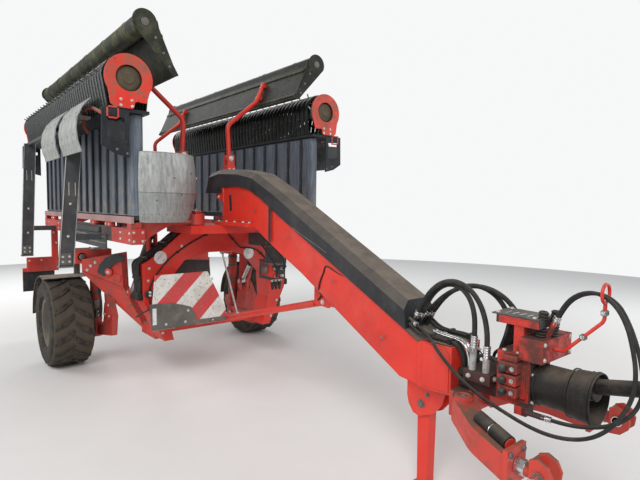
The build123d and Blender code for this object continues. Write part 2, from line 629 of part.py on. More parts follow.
def drawbar():
    """The gooseneck: a tall foot on the arch and a box beam that runs down to the hitch."""
    side = [(-235, FOOT_Z), (-235, 2050), (80, 2050), (300, 2010), (480, 1935), (800, 1770), (BEAM_END, 1020)]
    side += [(BEAM_END, 740), (2170, 750), (1090, 1318), (800, 1450), (565, 1562), (396, 1655), (330, FOOT_Z)]
    beam_body = along(side, -BEAM_HALF, BEAM_HALF)
    beam_body += block(-300, 360, -190, 190, SWING_TABLE_Z, FOOT_Z + 12)
    for side in (-1, 1):
        y0, y1 = side * 20, side * 36
        beam_body += along([(1150, 1310), (1150, 1060), (1330, 1050), (1480, 1160)], min(y0, y1), max(y0, y1))
    beam_body += rod((1260, -36, 1090), (1260, 36, 1090), STRUT_PIN_RADIUS)
    return beam_body


def drawbar_cover():
    """A bevelled cap on the beam's top from behind the foot down to the hose outlet, with the hoses' sockets."""
    top = [(-580, 2120), (-540, 2200), (-300, 2235), (80, 2215), (360, 2165), (700, 2015), (2200, 1262)]
    under = [(2222, 1080), (BEAM_END, 1024), (BEAM_END, 1020), (800, 1770), (480, 1935), (300, 2010), (80, 2050)]
    side = top + under + [(-235, 2050), (-235, 1990), (-580, 1990)]
    cover = along(side, -COVER_HALF, COVER_HALF)
    ridges = [edge for edge in cover.edges() if on_ridge(edge, top)]
    cover = chamfer(ridges, length=COVER_BEVEL)
    for routes, radius in ((THICK_ROUTES, THICK_HOSE), (THIN_ROUTES, THIN_HOSE)):
        for route in routes.values():
            if route[0][0] < STAND_X:
                cover += socket(route[0], route[1], radius, 76)
    return cover


def on_ridge(edge, top):
    """Whether an edge runs along one of the cover's upper corners."""
    ends = [any(abs(v.X - x) < 1 and abs(v.Z - z) < 1 for x, z in top) for v in edge.vertices()]
    return all(ends) and abs(edge.center().Y) > COVER_HALF - 1


def socket(end, towards, radius, length):
    """A collar that a hose comes out of: it ends at the hose's end and points along its first run."""
    tip = Vector(*end)
    run = (Vector(*towards) - tip).normalized()
    return rod(tip - run * length, tip, radius + SOCKET_WALL)


def drawbar_head():
    """The block between the beam and the hitch, with the rounded plates that hold the stand."""
    side = [(BEAM_END, 740), (BEAM_END, 1020), (2352, 1032), (HEAD_FACE, 1040), (HEAD_FACE, 750), (2440, 740)]
    head = along(side, -150, 150)
    cheek = [(2180, 749.375), (2180, 620), (2196, 560), (2234, 512), (2280, 500), (2386, 545), (2448, 620), (2488, 760)]
    cheek += [(BEAM_END, 760), (BEAM_END, 740)]
    for y0 in (-62, 42):
        head += along(cheek, y0, y0 + 20)
    head += rod((STAND_X, -70, STAND_Z), (STAND_X, 70, STAND_Z), STAND_PIN_RADIUS)
    return head


def stand_leg():
    """The parking leg between the head's plates, on a broad foot."""
    leg = rod((STAND_X, -38, STAND_Z), (STAND_X, 38, STAND_Z), 52)
    leg += along([(STAND_X - 48, STAND_Z), (STAND_X + 48, STAND_Z), (STAND_X + 38, 22), (STAND_X - 38, 22)], -38, 38)
    leg += block(STAND_X - 80, STAND_X + 80, -75, 75, 0, 24)
    hole = (STAND_X, -40, STAND_Z), (STAND_X, 40, STAND_Z)
    return leg - rod(*hole, STAND_PIN_RADIUS + FIT_GAP)


def hitch_yoke():
    """A horseshoe that hangs on the tractor's two lower links, with a ring boss, a damper and a fork on each arm."""
    yoke = block(HEAD_FACE, HEAD_FACE + 80, -160, 160, 640, 790)
    for side in (-1, 1):
        route = [(HEAD_FACE + 70, side * 110, 722), (2720, side * 240, 746), (2930, side * 385, 700)]
        route += [(ARM_END, side * (LINK_PIN_Y - 5), 660)]
        path = FilletPolyline(*route, radius=[70, 200])
        section = Plane(origin=path @ 0, x_dir=(0, 0, 1), z_dir=path % 0) * Rectangle(136, 112)
        yoke += sweep(section, path=path)
        yoke += rod((2744, side * 262, 780), (2744, side * 262, 830), 50)
        yoke += rod((2900, side * 358, 792), (3120, side * 436, 754), 30)
        y = side * LINK_PIN_Y
        yoke += block(ARM_END - 10, ARM_END + 14, y - 84, y + 84, 590, 768)
        yoke += rod((ARM_END, y, LINK_PIN_Z - 10), (FORK_REAR + 4, y, LINK_PIN_Z - 10), 34)
        yoke += block(FORK_REAR, FORK_REAR + 16, y - FORK_HALF, y + FORK_HALF, 620, 752)
        cheek = [(FORK_REAR, 612), (FORK_REAR, 756), (3286, 772), (3330, 752), (3352, 706), (3346, 660), (3306, 620)]
        for y0 in (y - FORK_HALF, y + FORK_HALF - FORK_PLATE):
            yoke += along(cheek, y0, y0 + FORK_PLATE)
        yoke -= rod((LINK_PIN_X, y - 60, LINK_PIN_Z), (LINK_PIN_X, y + 60, LINK_PIN_Z), LINK_SHANK_RADIUS + FIT_GAP)
    return yoke


def hitch_pins():
    """Cross pins through the forked tips: a head inside, a thick shank in the fork and a free end outside for a link."""
    pins = []
    for side in (-1, 1):
        def at(out):
            return (LINK_PIN_X, side * (LINK_PIN_Y + out), LINK_PIN_Z)

        pin = rod(at(-FORK_HALF), at(FORK_HALF), LINK_SHANK_RADIUS)
        pin += rod(at(FORK_HALF), at(FORK_HALF + LINK_PIN_FREE), LINK_PIN_RADIUS)
        pins.append(pin + rod(at(-FORK_HALF - 10), at(-FORK_HALF), LINK_SHANK_RADIUS + 8))
    return pins


def gearbox():
    """The gearbox on its casting, the valve block behind it, and the tee and the box that the hoses come out of."""
    gear = block(2850, GEAR_FACE, -110, 110, 815, 1090)
    gear += block(2870, GEAR_FACE - 20, -126, 126, 860, 1040)
    gear += block(2930, 2985, -90, 90, 1089, 1241)
    gear += block(2830, 3070, -100, 100, 1240, 1282)
    gear += block(2984, BOX_FRONT, -130, 200, 1070, 1190)
    gear += block(HEAD_FACE, 2852, -70, 70, 800, 890)
    gear += block(2665, 2830, -150, 200, 880, VALVE_TOP)
    gear += block(2829, 2890, 150, 210, 880, VALVE_TOP)
    gear += block(2995, 3060, -180, -100, 795, 840)
    for routes, radius in ((THICK_ROUTES, THICK_HOSE), (THIN_ROUTES, THIN_HOSE)):
        for route in routes.values():
            if radius == THICK_HOSE:
                gear += socket(route[-1], route[-2], radius, route[-1][2] - VALVE_TOP + 10)
            else:
                gear += socket(route[-1], route[-2], radius, 96)
    gear += socket(THIN_ROUTES["hose_drop"][0], THIN_ROUTES["hose_drop"][1], THIN_HOSE, 96)
    start, _, run = pto_ends()
    stub = rod(start - run * 110, start + run * PTO_SEAT, PTO_STUB_RADIUS)
    return gear + stub


def pto_guard():
    """A bell over the gearbox's shaft, open towards the tractor."""
    rows = [(110, 0), (110, 180), (124, 190), (132, 300), (126, 300), (118, 194), (104, 182), (104, 14), (44, 14)]
    rows += [(44, 0)]
    face = make_face(Polyline(*[(r, 0, x) for r, x in rows], close=True))
    bell = revolve(face, Axis.Z)
    return Plane(origin=(GEAR_FACE, 0, 930), z_dir=(1, 0, 0)) * bell


def pto_ends():
    """The shaft's rear and front end points and its direction; the front end sets the machine's length."""
    start = Vector(*PTO_START)
    run = Vector(cos(radians(PTO_RISE)), 0, sin(radians(PTO_RISE)))
    reach = (-HEAD_REAR - PTO_TUBE_RADIUS * run.Z - start.X) / run.X
    return start, start + run * reach, run


def pto_shaft():
    """The telescopic shaft, with a forked joint at each end."""
    a, b, run = pto_ends()
    shaft = rod(a, b, PTO_TUBE_RADIUS) + rod(a + run * 10, a + run * 90, 52) + rod(b - run * 130, b - run * 16, 60)
    shaft -= rod(b - run * PTO_SEAT, b + run * 10, PTO_BORE_RADIUS)
    return shaft - rod(a - run * 10, a + run * (PTO_SEAT + 2), PTO_STUB_RADIUS + FIT_GAP)


def hydraulic_motor():
    """The motor and its valves on the far side of the gooseneck's foot."""
    motor = rod((40, 330, 1250), (40, 330, 1470), 105)
    motor += block(-120, 90, 240, 420, 1100, 1300)
    return motor + block(-260, 60, 190, 330, 1450, ARCH_TOP - 60)


def lamp_board():
    """A rear lamp board hung on a cranked bracket from the rear of the head's lower beam."""
    y0, y1, low, _ = LOWER_BEAM
    board = block(LAMP_X - 12, LAMP_X, 1030, 1430, 620, 950)
    bracket = block(LAMP_X, LAMP_X + 50, y0 + 20, y1 - 20, 900, low)
    bracket += block(LAMP_X, LAMP_X + 50, y0 + 20, 1380, 900, 1100)
    lamps = block(LAMP_X - 60, LAMP_X - 11, 1270, 1400, 740, 900)
    lamps += rod((LAMP_X - 60, 1150, 820), (LAMP_X - 11, 1150, 820), 70)
    return board + bracket + lamps


def hose_holder():
    """A bent bar on the gearbox with a ring at its top that the hoses pass through."""
    foot = RING[2] - RING_RADIUS
    route = [(BOX_FRONT, 0, 1130), (BOX_FRONT + 46, 0, 1130), (RING[0], 0, foot - 90), (RING[0], 0, foot)]
    holder = bent_tube(route, [40, 50], RING_BAR + 1)
    return holder + Pos(*RING) * Rot(0, 90, 0) * Torus(RING_RADIUS, RING_BAR)


def hose(route, radius):
    """A hose along a route, with an arc at each corner as large as its runs allow."""
    points = [Vector(*point) for point in route]
    radii = []
    for a, b, c in zip(points, points[1:], points[2:]):
        turn = radians((b - a).get_angle(c - b))
        radii.append(0.45 * min((b - a).length, (c - b).length) / tan(turn / 2))
    tube = bent_tube(route, radii, radius)
    length = tube.volume / (pi * radius**2)
    print("hose", round(length), "mm, radii", [round(r) for r in radii])
    return tube


def support_strut():
    """A tube from the bracket under the beam back to the arch's lower tie."""
    strut = rod((ARCH_X - ARCH_DEPTH + 90, 0, 575), (1240, 0, 1085), 30)
    strut -= block(1130, 1400, 17, 60, 900, 1200) + block(1130, 1400, -60, -17, 900, 1200)
    strut += rod((1260, -17, 1090), (1260, 17, 1090), 36)
    strut -= block(-900, ARCH_X - ARCH_DEPTH + 90, -60, 60, 400, 700)
    return strut - rod((1260, -40, 1090), (1260, 40, 1090), STRUT_PIN_RADIUS + FIT_GAP)


def warning_board():
    outline = [(-38, 640), (-38, 760), (-250, 1180), (-800, 1180), (-850, 640)]
    board = across(outline, -360, -340)
    for z in (700, 1060):
        board += block(ARCH_X + ARCH_DEPTH, -359, -700, -645, z, z + 60)
    return board


for name, make in (
    ("belt", belt),
    ("pickup_frame", pickup_frame),
    ("end_plates", end_plates),
    ("bands", bands),
    ("reel", reel),
    ("hood", hood),
    ("hood_roller", hood_roller),
    ("hood_arms", hood_arms),
    ("head_frame", head_frame),
    ("skid_shoes", skid_shoes),
    ("skid_posts", skid_posts),
    ("lamp_board", lamp_board),
    ("wheel_arm", wheel_arm),
    ("fender", fender),
    ("rim", rim),
    ("tyre", tyre),
    ("lift_barrel", lift_barrel),
    ("lift_rod", lift_rod),
):
    write_pair(name, make())

write("dish_right", mirror(dish(), about=Plane.XZ))

for name, make in (
    ("chassis_arch", chassis_arch),
    ("drawbar", drawbar),
    ("drawbar_cover", drawbar_cover),
    ("drawbar_head", drawbar_head),
    ("stand_leg", stand_leg),
    ("hitch_yoke", hitch_yoke),
    ("hitch_pins", hitch_pins),
    ("gearbox", gearbox),
    ("pto_guard", pto_guard),
    ("pto_shaft", pto_shaft),
    ("hydraulic_motor", hydraulic_motor),
    ("hose_holder", hose_holder),
    ("support_strut", support_strut),
    ("warning_board", warning_board),
):
    write(name, make())

for routes, radius in ((THICK_ROUTES, THICK_HOSE), (THIN_ROUTES, THIN_HOSE)):
    for name, route in routes.items():
        write(name, hose(route, radius))
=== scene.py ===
import bpy
import bmesh
import json
from itertools import product
from math import cos, pi, radians, sin
from mathutils import Matrix, Vector

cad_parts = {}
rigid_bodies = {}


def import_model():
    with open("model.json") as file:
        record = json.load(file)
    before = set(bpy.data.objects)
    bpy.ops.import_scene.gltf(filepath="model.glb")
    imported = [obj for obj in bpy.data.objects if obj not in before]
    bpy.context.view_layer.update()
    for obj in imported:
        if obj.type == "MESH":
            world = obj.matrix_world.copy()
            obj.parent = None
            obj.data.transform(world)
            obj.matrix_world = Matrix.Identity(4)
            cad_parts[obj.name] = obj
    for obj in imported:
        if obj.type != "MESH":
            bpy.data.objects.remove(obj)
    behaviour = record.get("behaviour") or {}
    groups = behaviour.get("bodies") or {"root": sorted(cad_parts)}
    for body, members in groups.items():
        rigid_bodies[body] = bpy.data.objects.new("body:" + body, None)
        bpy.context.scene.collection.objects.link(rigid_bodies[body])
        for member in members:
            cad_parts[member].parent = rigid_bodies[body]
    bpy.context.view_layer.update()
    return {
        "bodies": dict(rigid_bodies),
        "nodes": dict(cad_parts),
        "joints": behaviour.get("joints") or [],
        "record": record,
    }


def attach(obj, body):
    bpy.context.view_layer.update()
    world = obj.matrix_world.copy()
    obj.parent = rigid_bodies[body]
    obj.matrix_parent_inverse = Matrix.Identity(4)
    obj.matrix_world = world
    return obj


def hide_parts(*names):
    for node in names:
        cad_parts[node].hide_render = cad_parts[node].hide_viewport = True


FORE, LEFT, UP = (1, 0, 0), (0, 1, 0), (0, 0, 1)
AFT, RIGHT, DOWN = (-1, 0, 0), (0, -1, 0), (0, 0, -1)

# The left wheel's middle, in metres; X is ahead, Y to the left and Z up
AXLE = (-1.94, 1.262, 0.505)

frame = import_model()
nodes = frame["nodes"]

# Camera: its place, heading, pitch and roll were solved from the photograph
HEADING = radians(39.763)
PITCH = radians(3.917)
ROLL = radians(0.717)
EYE = Vector((4.25, -2.561, 1.863))
FOCAL_PIXELS = 486.96
FRAME_PIXELS = 640
SENSOR = 36.0


def make_camera():
    """Stands the camera where the photograph was taken from."""
    look = Vector((-cos(HEADING) * cos(PITCH), sin(HEADING) * cos(PITCH), -sin(PITCH)))
    right = Vector((sin(HEADING), cos(HEADING), 0))
    up = right.cross(look)
    right_rolled = cos(ROLL) * right + sin(ROLL) * up
    up_rolled = -sin(ROLL) * right + cos(ROLL) * up
    camera = bpy.data.cameras.new("camera")
    camera.sensor_width = SENSOR
    camera.lens = FOCAL_PIXELS / FRAME_PIXELS * SENSOR
    camera.clip_end = 200
    holder = bpy.data.objects.new("camera", camera)
    turn = Matrix((right_rolled, up_rolled, -look)).transposed().to_4x4()
    holder.matrix_world = Matrix.Translation(EYE) @ turn
    bpy.context.scene.collection.objects.link(holder)
    bpy.context.scene.camera = holder


make_camera()

# Hoses: each one's radius, its tube's length and the points of its route, in metres
THICK_HOSE = 0.015
THIN_HOSE = 0.01
HOSES = {
    "hose_arch_a": (THICK_HOSE, 0.939, (
        (2.262, -0.084, 1.172), (2.311, -0.085, 1.264), (2.374, -0.088, 1.351), (2.462, -0.093, 1.415),
        (2.566, -0.098, 1.433), (2.666, -0.104, 1.397), (2.738, -0.109, 1.319), (2.778, -0.114, 1.221),
        (2.792, -0.117, 1.118), (2.79, -0.118, 1.02))),
    "hose_arch_b": (THICK_HOSE, 0.819, (
        (2.262, -0.038, 1.158), (2.308, -0.042, 1.251), (2.37, -0.045, 1.337), (2.456, -0.055, 1.397),
        (2.558, -0.069, 1.404), (2.646, -0.088, 1.354), (2.697, -0.107, 1.266), (2.712, -0.12, 1.164),
        (2.71, -0.124, 1.064))),
    "hose_arch_c": (THICK_HOSE, 0.999, (
        (2.262, 0.01, 1.166), (2.334, 0.017, 1.252), (2.419, 0.036, 1.331), (2.524, 0.064, 1.384),
        (2.64, 0.097, 1.389), (2.742, 0.129, 1.343), (2.814, 0.156, 1.257), (2.852, 0.172, 1.154),
        (2.866, 0.182, 1.051), (2.865, 0.185, 0.963))),
    "hose_arch_d": (THICK_HOSE, 0.828, (
        (2.262, 0.07, 1.154), (2.317, 0.078, 1.242), (2.389, 0.092, 1.322), (2.483, 0.11, 1.376),
        (2.587, 0.128, 1.384), (2.679, 0.146, 1.341), (2.742, 0.16, 1.26), (2.77, 0.17, 1.162),
        (2.773, 0.174, 1.064))),
    "hose_loop": (THIN_HOSE, 2.314, (
        (2.268, -0.112, 1.124), (2.352, -0.14, 1.106), (2.436, -0.168, 1.07), (2.526, -0.19, 0.998),
        (2.626, -0.188, 0.918), (2.732, -0.188, 0.858), (2.84, -0.184, 0.812), (2.951, -0.178, 0.778),
        (3.061, -0.174, 0.75), (3.167, -0.168, 0.738), (3.27, -0.16, 0.75), (3.364, -0.15, 0.788),
        (3.435, -0.14, 0.855), (3.486, -0.132, 0.937), (3.52, -0.124, 1.035), (3.522, -0.11, 1.137),
        (3.496, -0.086, 1.238), (3.458, -0.056, 1.335), (3.396, -0.028, 1.418), (3.312, -0.015, 1.464),
        (3.222, -0.015, 1.446), (3.15, -0.014, 1.374), (3.112, -0.014, 1.28))),
    "hose_drop": (THIN_HOSE, 1.325, (
        (3.104, 0.026, 1.27), (3.138, 0.026, 1.355), (3.205, 0.024, 1.428), (3.3, 0.016, 1.459),
        (3.392, 0.008, 1.425), (3.452, -0.014, 1.34), (3.502, -0.046, 1.24), (3.537, -0.076, 1.14),
        (3.547, -0.082, 1.035), (3.512, -0.086, 0.935), (3.437, -0.102, 0.862), (3.337, -0.126, 0.824),
        (3.238, -0.15, 0.812), (3.15, -0.16, 0.815))),
}


def make_hoses():
    """Each hose is a bevelled curve on its route's points, in place of its plain tube."""
    made = []
    for name, (radius, length, route) in HOSES.items():
        curve = bpy.data.curves.new(f"{name}_line", "CURVE")
        curve.dimensions = "3D"
        curve.bevel_depth = 1.0
        curve.bevel_resolution = 5
        curve.resolution_u = 10
        curve.use_fill_caps = True
        spline = curve.splines.new("NURBS")
        spline.points.add(len(route) - 1)
        for point, place in zip(spline.points, route):
            point.co = (*place, 1)
            point.radius = radius
        spline.order_u = 3
        spline.use_endpoint_u = True
        holder = bpy.data.objects.new(f"{name}_line", curve)
        bpy.context.scene.collection.objects.link(holder)
        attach(holder, "chassis")
        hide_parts(name)
        made.append(holder)
    return made


hoses = make_hoses()

# Materials


class Nodes:
    """A short way to build a node tree."""

    def __init__(self, name):
        self.material = bpy.data.materials.new(name)
        self.material.use_nodes = True
        self.tree = self.material.node_tree
        self.shader = self.tree.nodes["Principled BSDF"]
        self.place = self.tree.nodes.new("ShaderNodeTexCoord").outputs["Object"]
        self.normal = None
        self.body = None

    def add(self, kind, inputs=None, **settings):
        node = self.tree.nodes.new(kind)
        for key, value in settings.items():
            setattr(node, key, value)
        for key, value in (inputs or {}).items():
            if isinstance(value, bpy.types.NodeSocket):
                self.tree.links.new(value, node.inputs[key])
            else:
                node.inputs[key].default_value = value
        return node

    # Each of these adds a node and gives its output
    def noise(self, scale, detail=4.0, rough=0.55, stretch=None, distort=0.0):
        where = self.place
        if stretch:
            where = self.add("ShaderNodeMapping", {"Vector": where, "Scale": stretch}).outputs[0]
        made = self.add("ShaderNodeTexNoise", {"Vector": where, "Scale": scale, "Detail": detail,
            "Roughness": rough, "Distortion": distort})
        return made.outputs["Fac"]

    def ramp(self, value, low, high, from_value=0.0, to_value=1.0):
        made = self.add("ShaderNodeMapRange", {"Value": value, "From Min": low, "From Max": high,
            "To Min": from_value, "To Max": to_value}, interpolation_type="SMOOTHSTEP")
        return made.outputs[0]

    def math(self, how, a, b=0.0):
        return self.add("ShaderNodeMath", {0: a, 1: b}, operation=how).outputs[0]

    def times(self, a, b):
        return self.math("MULTIPLY", a, b)

    def plus(self, a, b):
        return self.math("ADD", a, b)

    def mix(self, share, a, b):
        made = self.add("ShaderNodeMix", data_type="RGBA")
        for socket, value in ((made.inputs[0], share), (made.inputs[6], a), (made.inputs[7], b)):
            if isinstance(value, bpy.types.NodeSocket):
                self.tree.links.new(value, socket)
            else:
                socket.default_value = value if isinstance(value, float) else (*value, 1.0)
        return made.outputs[2]

    def over(self, share, colour):
        """Lays a colour over the body colour."""
        self.body = self.mix(share, self.body, colour)

    def axes(self):
        return self.add("ShaderNodeSeparateXYZ", {0: self.place}).outputs

    def upward(self, low, high):
        z = self.add("ShaderNodeSeparateXYZ",
            {0: self.add("ShaderNodeNewGeometry").outputs["Normal"]}).outputs["Z"]
        return self.ramp(z, low, high)

    def edges(self, radius):
        """0 on the flat and 1 where a face turns at an edge; it also softens the edge's shading."""
        soft = self.add("ShaderNodeBevel", {"Radius": radius}, samples=6).outputs[0]
        sharp = self.add("ShaderNodeNewGeometry").outputs["Normal"]
        same = self.add("ShaderNodeVectorMath", {0: soft, 1: sharp},
            operation="DOT_PRODUCT").outputs["Value"]
        self.normal = soft
        return self.ramp(self.math("SUBTRACT", 1.0, same), 0.02, 0.25)

    def bump(self, value, strength, distance):
        made = self.add("ShaderNodeBump", {"Height": value, "Strength": strength, "Distance": distance})
        if self.normal:
            self.tree.links.new(self.normal, made.inputs["Normal"])
        self.tree.links.new(made.outputs[0], self.shader.inputs["Normal"])

    def set(self, name, value):
        self.shader.inputs[name].default_value = value

    def colour(self, socket):
        self.tree.links.new(socket, self.shader.inputs["Base Color"])

    def roughness(self, socket):
        self.tree.links.new(socket, self.shader.inputs["Roughness"])

    def sine(self, value, pitch):
        return self.math("SINE", self.math("MULTIPLY", value, pitch))

    def far(self, a, b):
        """The length of a run from its two parts."""
        return self.math("SQRT", self.plus(self.times(a, a), self.times(b, b)))


# Waves of the lenses' ribs, the tyres' rings and the hoses' weave, in radians for each metre
LENS_RIBS = 900.0
TYRE_RINGS = 330.0
WEAVE = 1300.0
# Y of the belt's middle, and how far out from it a slat's face begins
BELT_MIDDLE = 1.01
SLAT_FACE = (0.0535, 0.0545)
# The warning board's stripes, along its slope
STRIPE_START = 2.771
STRIPE_PITCH = 0.315
# Radii on the tyre where the lugs' feet and the side wall end
LUG_FOOT = (0.484, 0.494)
SIDE_WALL = (0.44, 0.45)
EDGE_SOFT = 0.003

DUST = (0.27, 0.22, 0.17)
STRAW = (0.34, 0.33, 0.13)
CLAY = (0.27, 0.21, 0.15)


def painted(name, base, dark, rough=0.35, dust=0.5, soil=DUST, edge=(0.5, 0.42, 0.38), wear=0.35, films=0.45,
        shine=0.5, zones=(), even=0.25, spread=0.0):
    """Mottled paint with dust on upward faces, dirt, and paler edges that are partly worn paint and partly a
    painted highlight; a zone has its own colour.
    """
    n = Nodes(name)
    cloud = n.noise(2.3, 5.0, 0.6)
    fine = n.noise(34.0, 6.0, 0.65)
    n.body = n.mix(n.ramp(cloud, 0.35, 0.7), base, dark)
    for limits, colour in zones:
        inside = 1.0
        for axis, low, high in limits:
            place = n.axes()[axis]
            inside = n.times(n.times(n.ramp(place, low, low + 0.001),
                n.ramp(place, high, high + 0.001, 1.0, 0.0)), inside)
        n.over(n.times(inside, 0.94), colour)
    runs = n.ramp(n.noise(7.0, 6.0, 0.65, stretch=(3.0, 3.0, 0.5)), 0.5, 0.75)
    patch = n.ramp(n.noise(5.5, 7.0, 0.7), 0.46 - spread, 0.72 - spread)
    film = n.times(n.math("MAXIMUM", patch, n.times(runs, 0.6)), films * dust)
    top = n.times(n.upward(0.35, 0.95), n.ramp(n.noise(9.0, 5.0, 0.6), 0.3, 0.62, even * dust, dust))
    share = n.math("MINIMUM", n.plus(film, top), 0.95)
    n.over(share, soil)
    # Paler edges: partly worn paint, partly a painted highlight where the edges catch the light
    rim = n.times(n.edges(0.004), n.ramp(n.noise(22.0, 5.0, 0.7), 0.4, 0.62, 0.15, 1.0))
    n.over(n.times(rim, wear), edge)
    spots = n.ramp(n.noise(61.0, 3.0, 0.5), 0.71, 0.75)
    n.over(n.times(spots, 0.5), soil)
    n.colour(n.body)
    n.roughness(n.plus(n.times(share, 0.5), n.ramp(fine, 0.3, 0.7, rough - 0.06, rough + 0.1)))
    n.set("Specular IOR Level", shine)
    n.bump(fine, 0.12, 0.001)
    return n.material


def metal(name, base, dark, rough=0.45, metallic=0.7, streak=(1.0, 1.0, 0.12), soil=0.5):
    """Bare metal with streaks, grime and bright edges, partly rubbed metal and partly a painted highlight.
    """
    n = Nodes(name)
    streaks = n.noise(38.0, 5.0, 0.6, stretch=streak)
    cloud = n.noise(4.0, 5.0, 0.6)
    n.body = n.mix(n.times(n.ramp(streaks, 0.35, 0.7), 0.6), base, dark)
    n.over(n.ramp(cloud, 0.45, 0.75, 0.0, soil), DUST)
    # Bright edges: partly rubbed metal, partly a painted highlight
    n.over(n.times(n.edges(EDGE_SOFT), 0.4), (0.7, 0.7, 0.7))
    n.colour(n.body)
    n.set("Metallic", metallic)
    n.roughness(n.ramp(streaks, 0.2, 0.8, rough - 0.1, rough + 0.2))
    n.bump(streaks, 0.15, 0.001)
    return n.material


def belt_look():
    """Dusty blue-grey rubber, its blue partly a painted sky reflection, between slats painted dark as
    painted shadow, with upright scuffs.
    """
    n = Nodes("belt_rubber")
    _, y, z = n.axes()
    out = n.math("ABSOLUTE", n.math("SUBTRACT", n.math("ABSOLUTE", y), BELT_MIDDLE))
    # Where the slats stand out, the colour turns dark: painted shadow of the slats
    slat = n.ramp(out, *SLAT_FACE)
    scuff = n.noise(30.0, 6.0, 0.65, stretch=(2.5, 2.5, 0.16))
    # Blue-grey rubber: partly its own colour, partly a painted sky reflection
    pale = n.mix(n.ramp(scuff, 0.35, 0.7), (0.08, 0.098, 0.124), (0.175, 0.203, 0.24))
    low = n.ramp(z, 1.76, 2.2, 0.65, 0.0)
    pale = n.mix(n.times(low, n.ramp(n.noise(11.0, 5.0), 0.4, 0.65)), pale, DUST)
    # Slat colour: painted shadow, with scuffs
    dark = n.mix(n.ramp(scuff, 0.4, 0.7), (0.018, 0.021, 0.027), (0.055, 0.06, 0.066))
    n.edges(EDGE_SOFT)  # only for the softer shading that bump takes up
    n.colour(n.mix(slat, pale, dark))
    n.roughness(n.ramp(scuff, 0.3, 0.7, 0.42, 0.66))
    n.set("Specular IOR Level", 0.35)
    n.bump(scuff, 0.25, 0.002)
    return n.material


def tyre_look():
    """Dusty rubber: paler on the lugs' tops, with clay between them and rings on the side walls."""
    n = Nodes("tyre_rubber")
    x, _, z = n.axes()
    dx, dz = n.plus(x, -AXLE[0]), n.math("SUBTRACT", z, AXLE[2])
    radius = n.far(dx, dz)
    grime = n.noise(16.0, 7.0, 0.7)
    scuff = n.noise(42.0, 5.0, 0.65)
    n.body = n.mix(n.ramp(grime, 0.35, 0.68), (0.02, 0.019, 0.017), (0.075, 0.065, 0.052))
    floor = n.ramp(radius, *LUG_FOOT, 1.0, 0.0)
    n.over(n.times(n.times(floor, n.ramp(radius, 0.46, 0.47)), 0.65), (0.105, 0.085, 0.063))
    n.over(n.ramp(scuff, 0.55, 0.75, 0.0, 0.35), (0.16, 0.13, 0.1))
    # Paler edges: partly scuffed rubber, partly a painted highlight
    n.over(n.times(n.edges(0.006), 0.35), (0.13, 0.12, 0.11))
    n.colour(n.body)
    n.roughness(n.ramp(grime, 0.3, 0.7, 0.72, 0.95))
    n.set("Specular IOR Level", 0.25)
    rings = n.sine(radius, TYRE_RINGS)
    side = n.times(rings, n.ramp(radius, *SIDE_WALL, 1.0, 0.0))
    n.bump(n.plus(n.times(side, 0.3), scuff), 0.35, 0.003)
    return n.material


def worn_look(name="worn_sheet", crease=None):
    """Sheet polished grey by crop, with scratches and paler edges that are partly a painted highlight; the
    bowed one has a crease with a painted shade line in it and painted shadow below it.
    """
    n = Nodes(name)
    long = n.noise(26.0, 6.0, 0.7, stretch=(1.0, 1.0, 0.22))
    cross = n.noise(70.0, 4.0, 0.7, stretch=(0.25, 0.25, 1.2), distort=0.6)
    blotch = n.noise(6.5, 6.0, 0.65)
    n.body = n.mix(n.ramp(long, 0.34, 0.7), (0.42, 0.43, 0.415), (0.23, 0.24, 0.235))
    n.over(n.ramp(blotch, 0.45, 0.72, 0.0, 0.55), (0.33, 0.33, 0.26))
    n.over(n.ramp(cross, 0.66, 0.74, 0.0, 0.55), (0.1, 0.1, 0.1))
    if crease:
        height = n.plus(n.axes()[2], n.times(n.noise(3.0), 0.03))
        # A dark line along the crease: painted shade in the bend
        line = n.times(n.ramp(height, crease - 0.01, crease),
            n.ramp(height, crease, crease + 0.004, 1.0, 0.0))
        n.over(n.times(line, 0.8), (0.07, 0.08, 0.08))
        # Darker below the crease: painted shadow on the dish's lower part
        n.over(n.ramp(height, crease - 0.01, crease, 0.3, 0.0), (0.14, 0.16, 0.16))
        crack = n.ramp(n.noise(9.0, 3.0, 0.6, stretch=(1.0, 1.0, 0.16), distort=0.5), 0.492, 0.5)
        gap = n.times(crack, n.ramp(n.noise(9.0, 3.0, 0.6, stretch=(1.0, 1.0, 0.16), distort=0.5), 0.5,
            0.508, 1.0, 0.0))
        n.over(n.times(gap, 0.5), (0.1, 0.11, 0.11))
    # Paler edges: partly polished sheet, partly a painted highlight
    n.over(n.times(n.edges(0.004), 0.4), (0.68, 0.68, 0.66))
    n.colour(n.body)
    n.set("Metallic", 0.25)
    n.roughness(n.ramp(long, 0.3, 0.7, 0.38, 0.62))
    n.bump(n.plus(long, n.times(cross, 0.5)), 0.2, 0.0015)
    return n.material


def hose_look():
    """Woven black sleeve with dust in its weave."""
    n = Nodes("hose_sleeve")
    x, y, z = n.axes()
    one = n.sine(n.plus(x, z), WEAVE)
    two = n.sine(n.math("SUBTRACT", z, n.plus(x, y)), WEAVE)
    weave = n.times(one, two)
    dusty = n.noise(13.0, 6.0, 0.65)
    n.body = n.mix(n.ramp(dusty, 0.42, 0.7, 0.05, 0.75), (0.013, 0.013, 0.014), (0.06, 0.054, 0.046))
    n.over(n.times(n.upward(0.3, 1.0), 0.16), DUST)
    n.colour(n.body)
    n.roughness(n.ramp(dusty, 0.3, 0.7, 0.5, 0.8))
    n.set("Specular IOR Level", 0.3)
    n.bump(n.plus(n.times(weave, 0.4), dusty), 0.35, 0.0012)
    return n.material


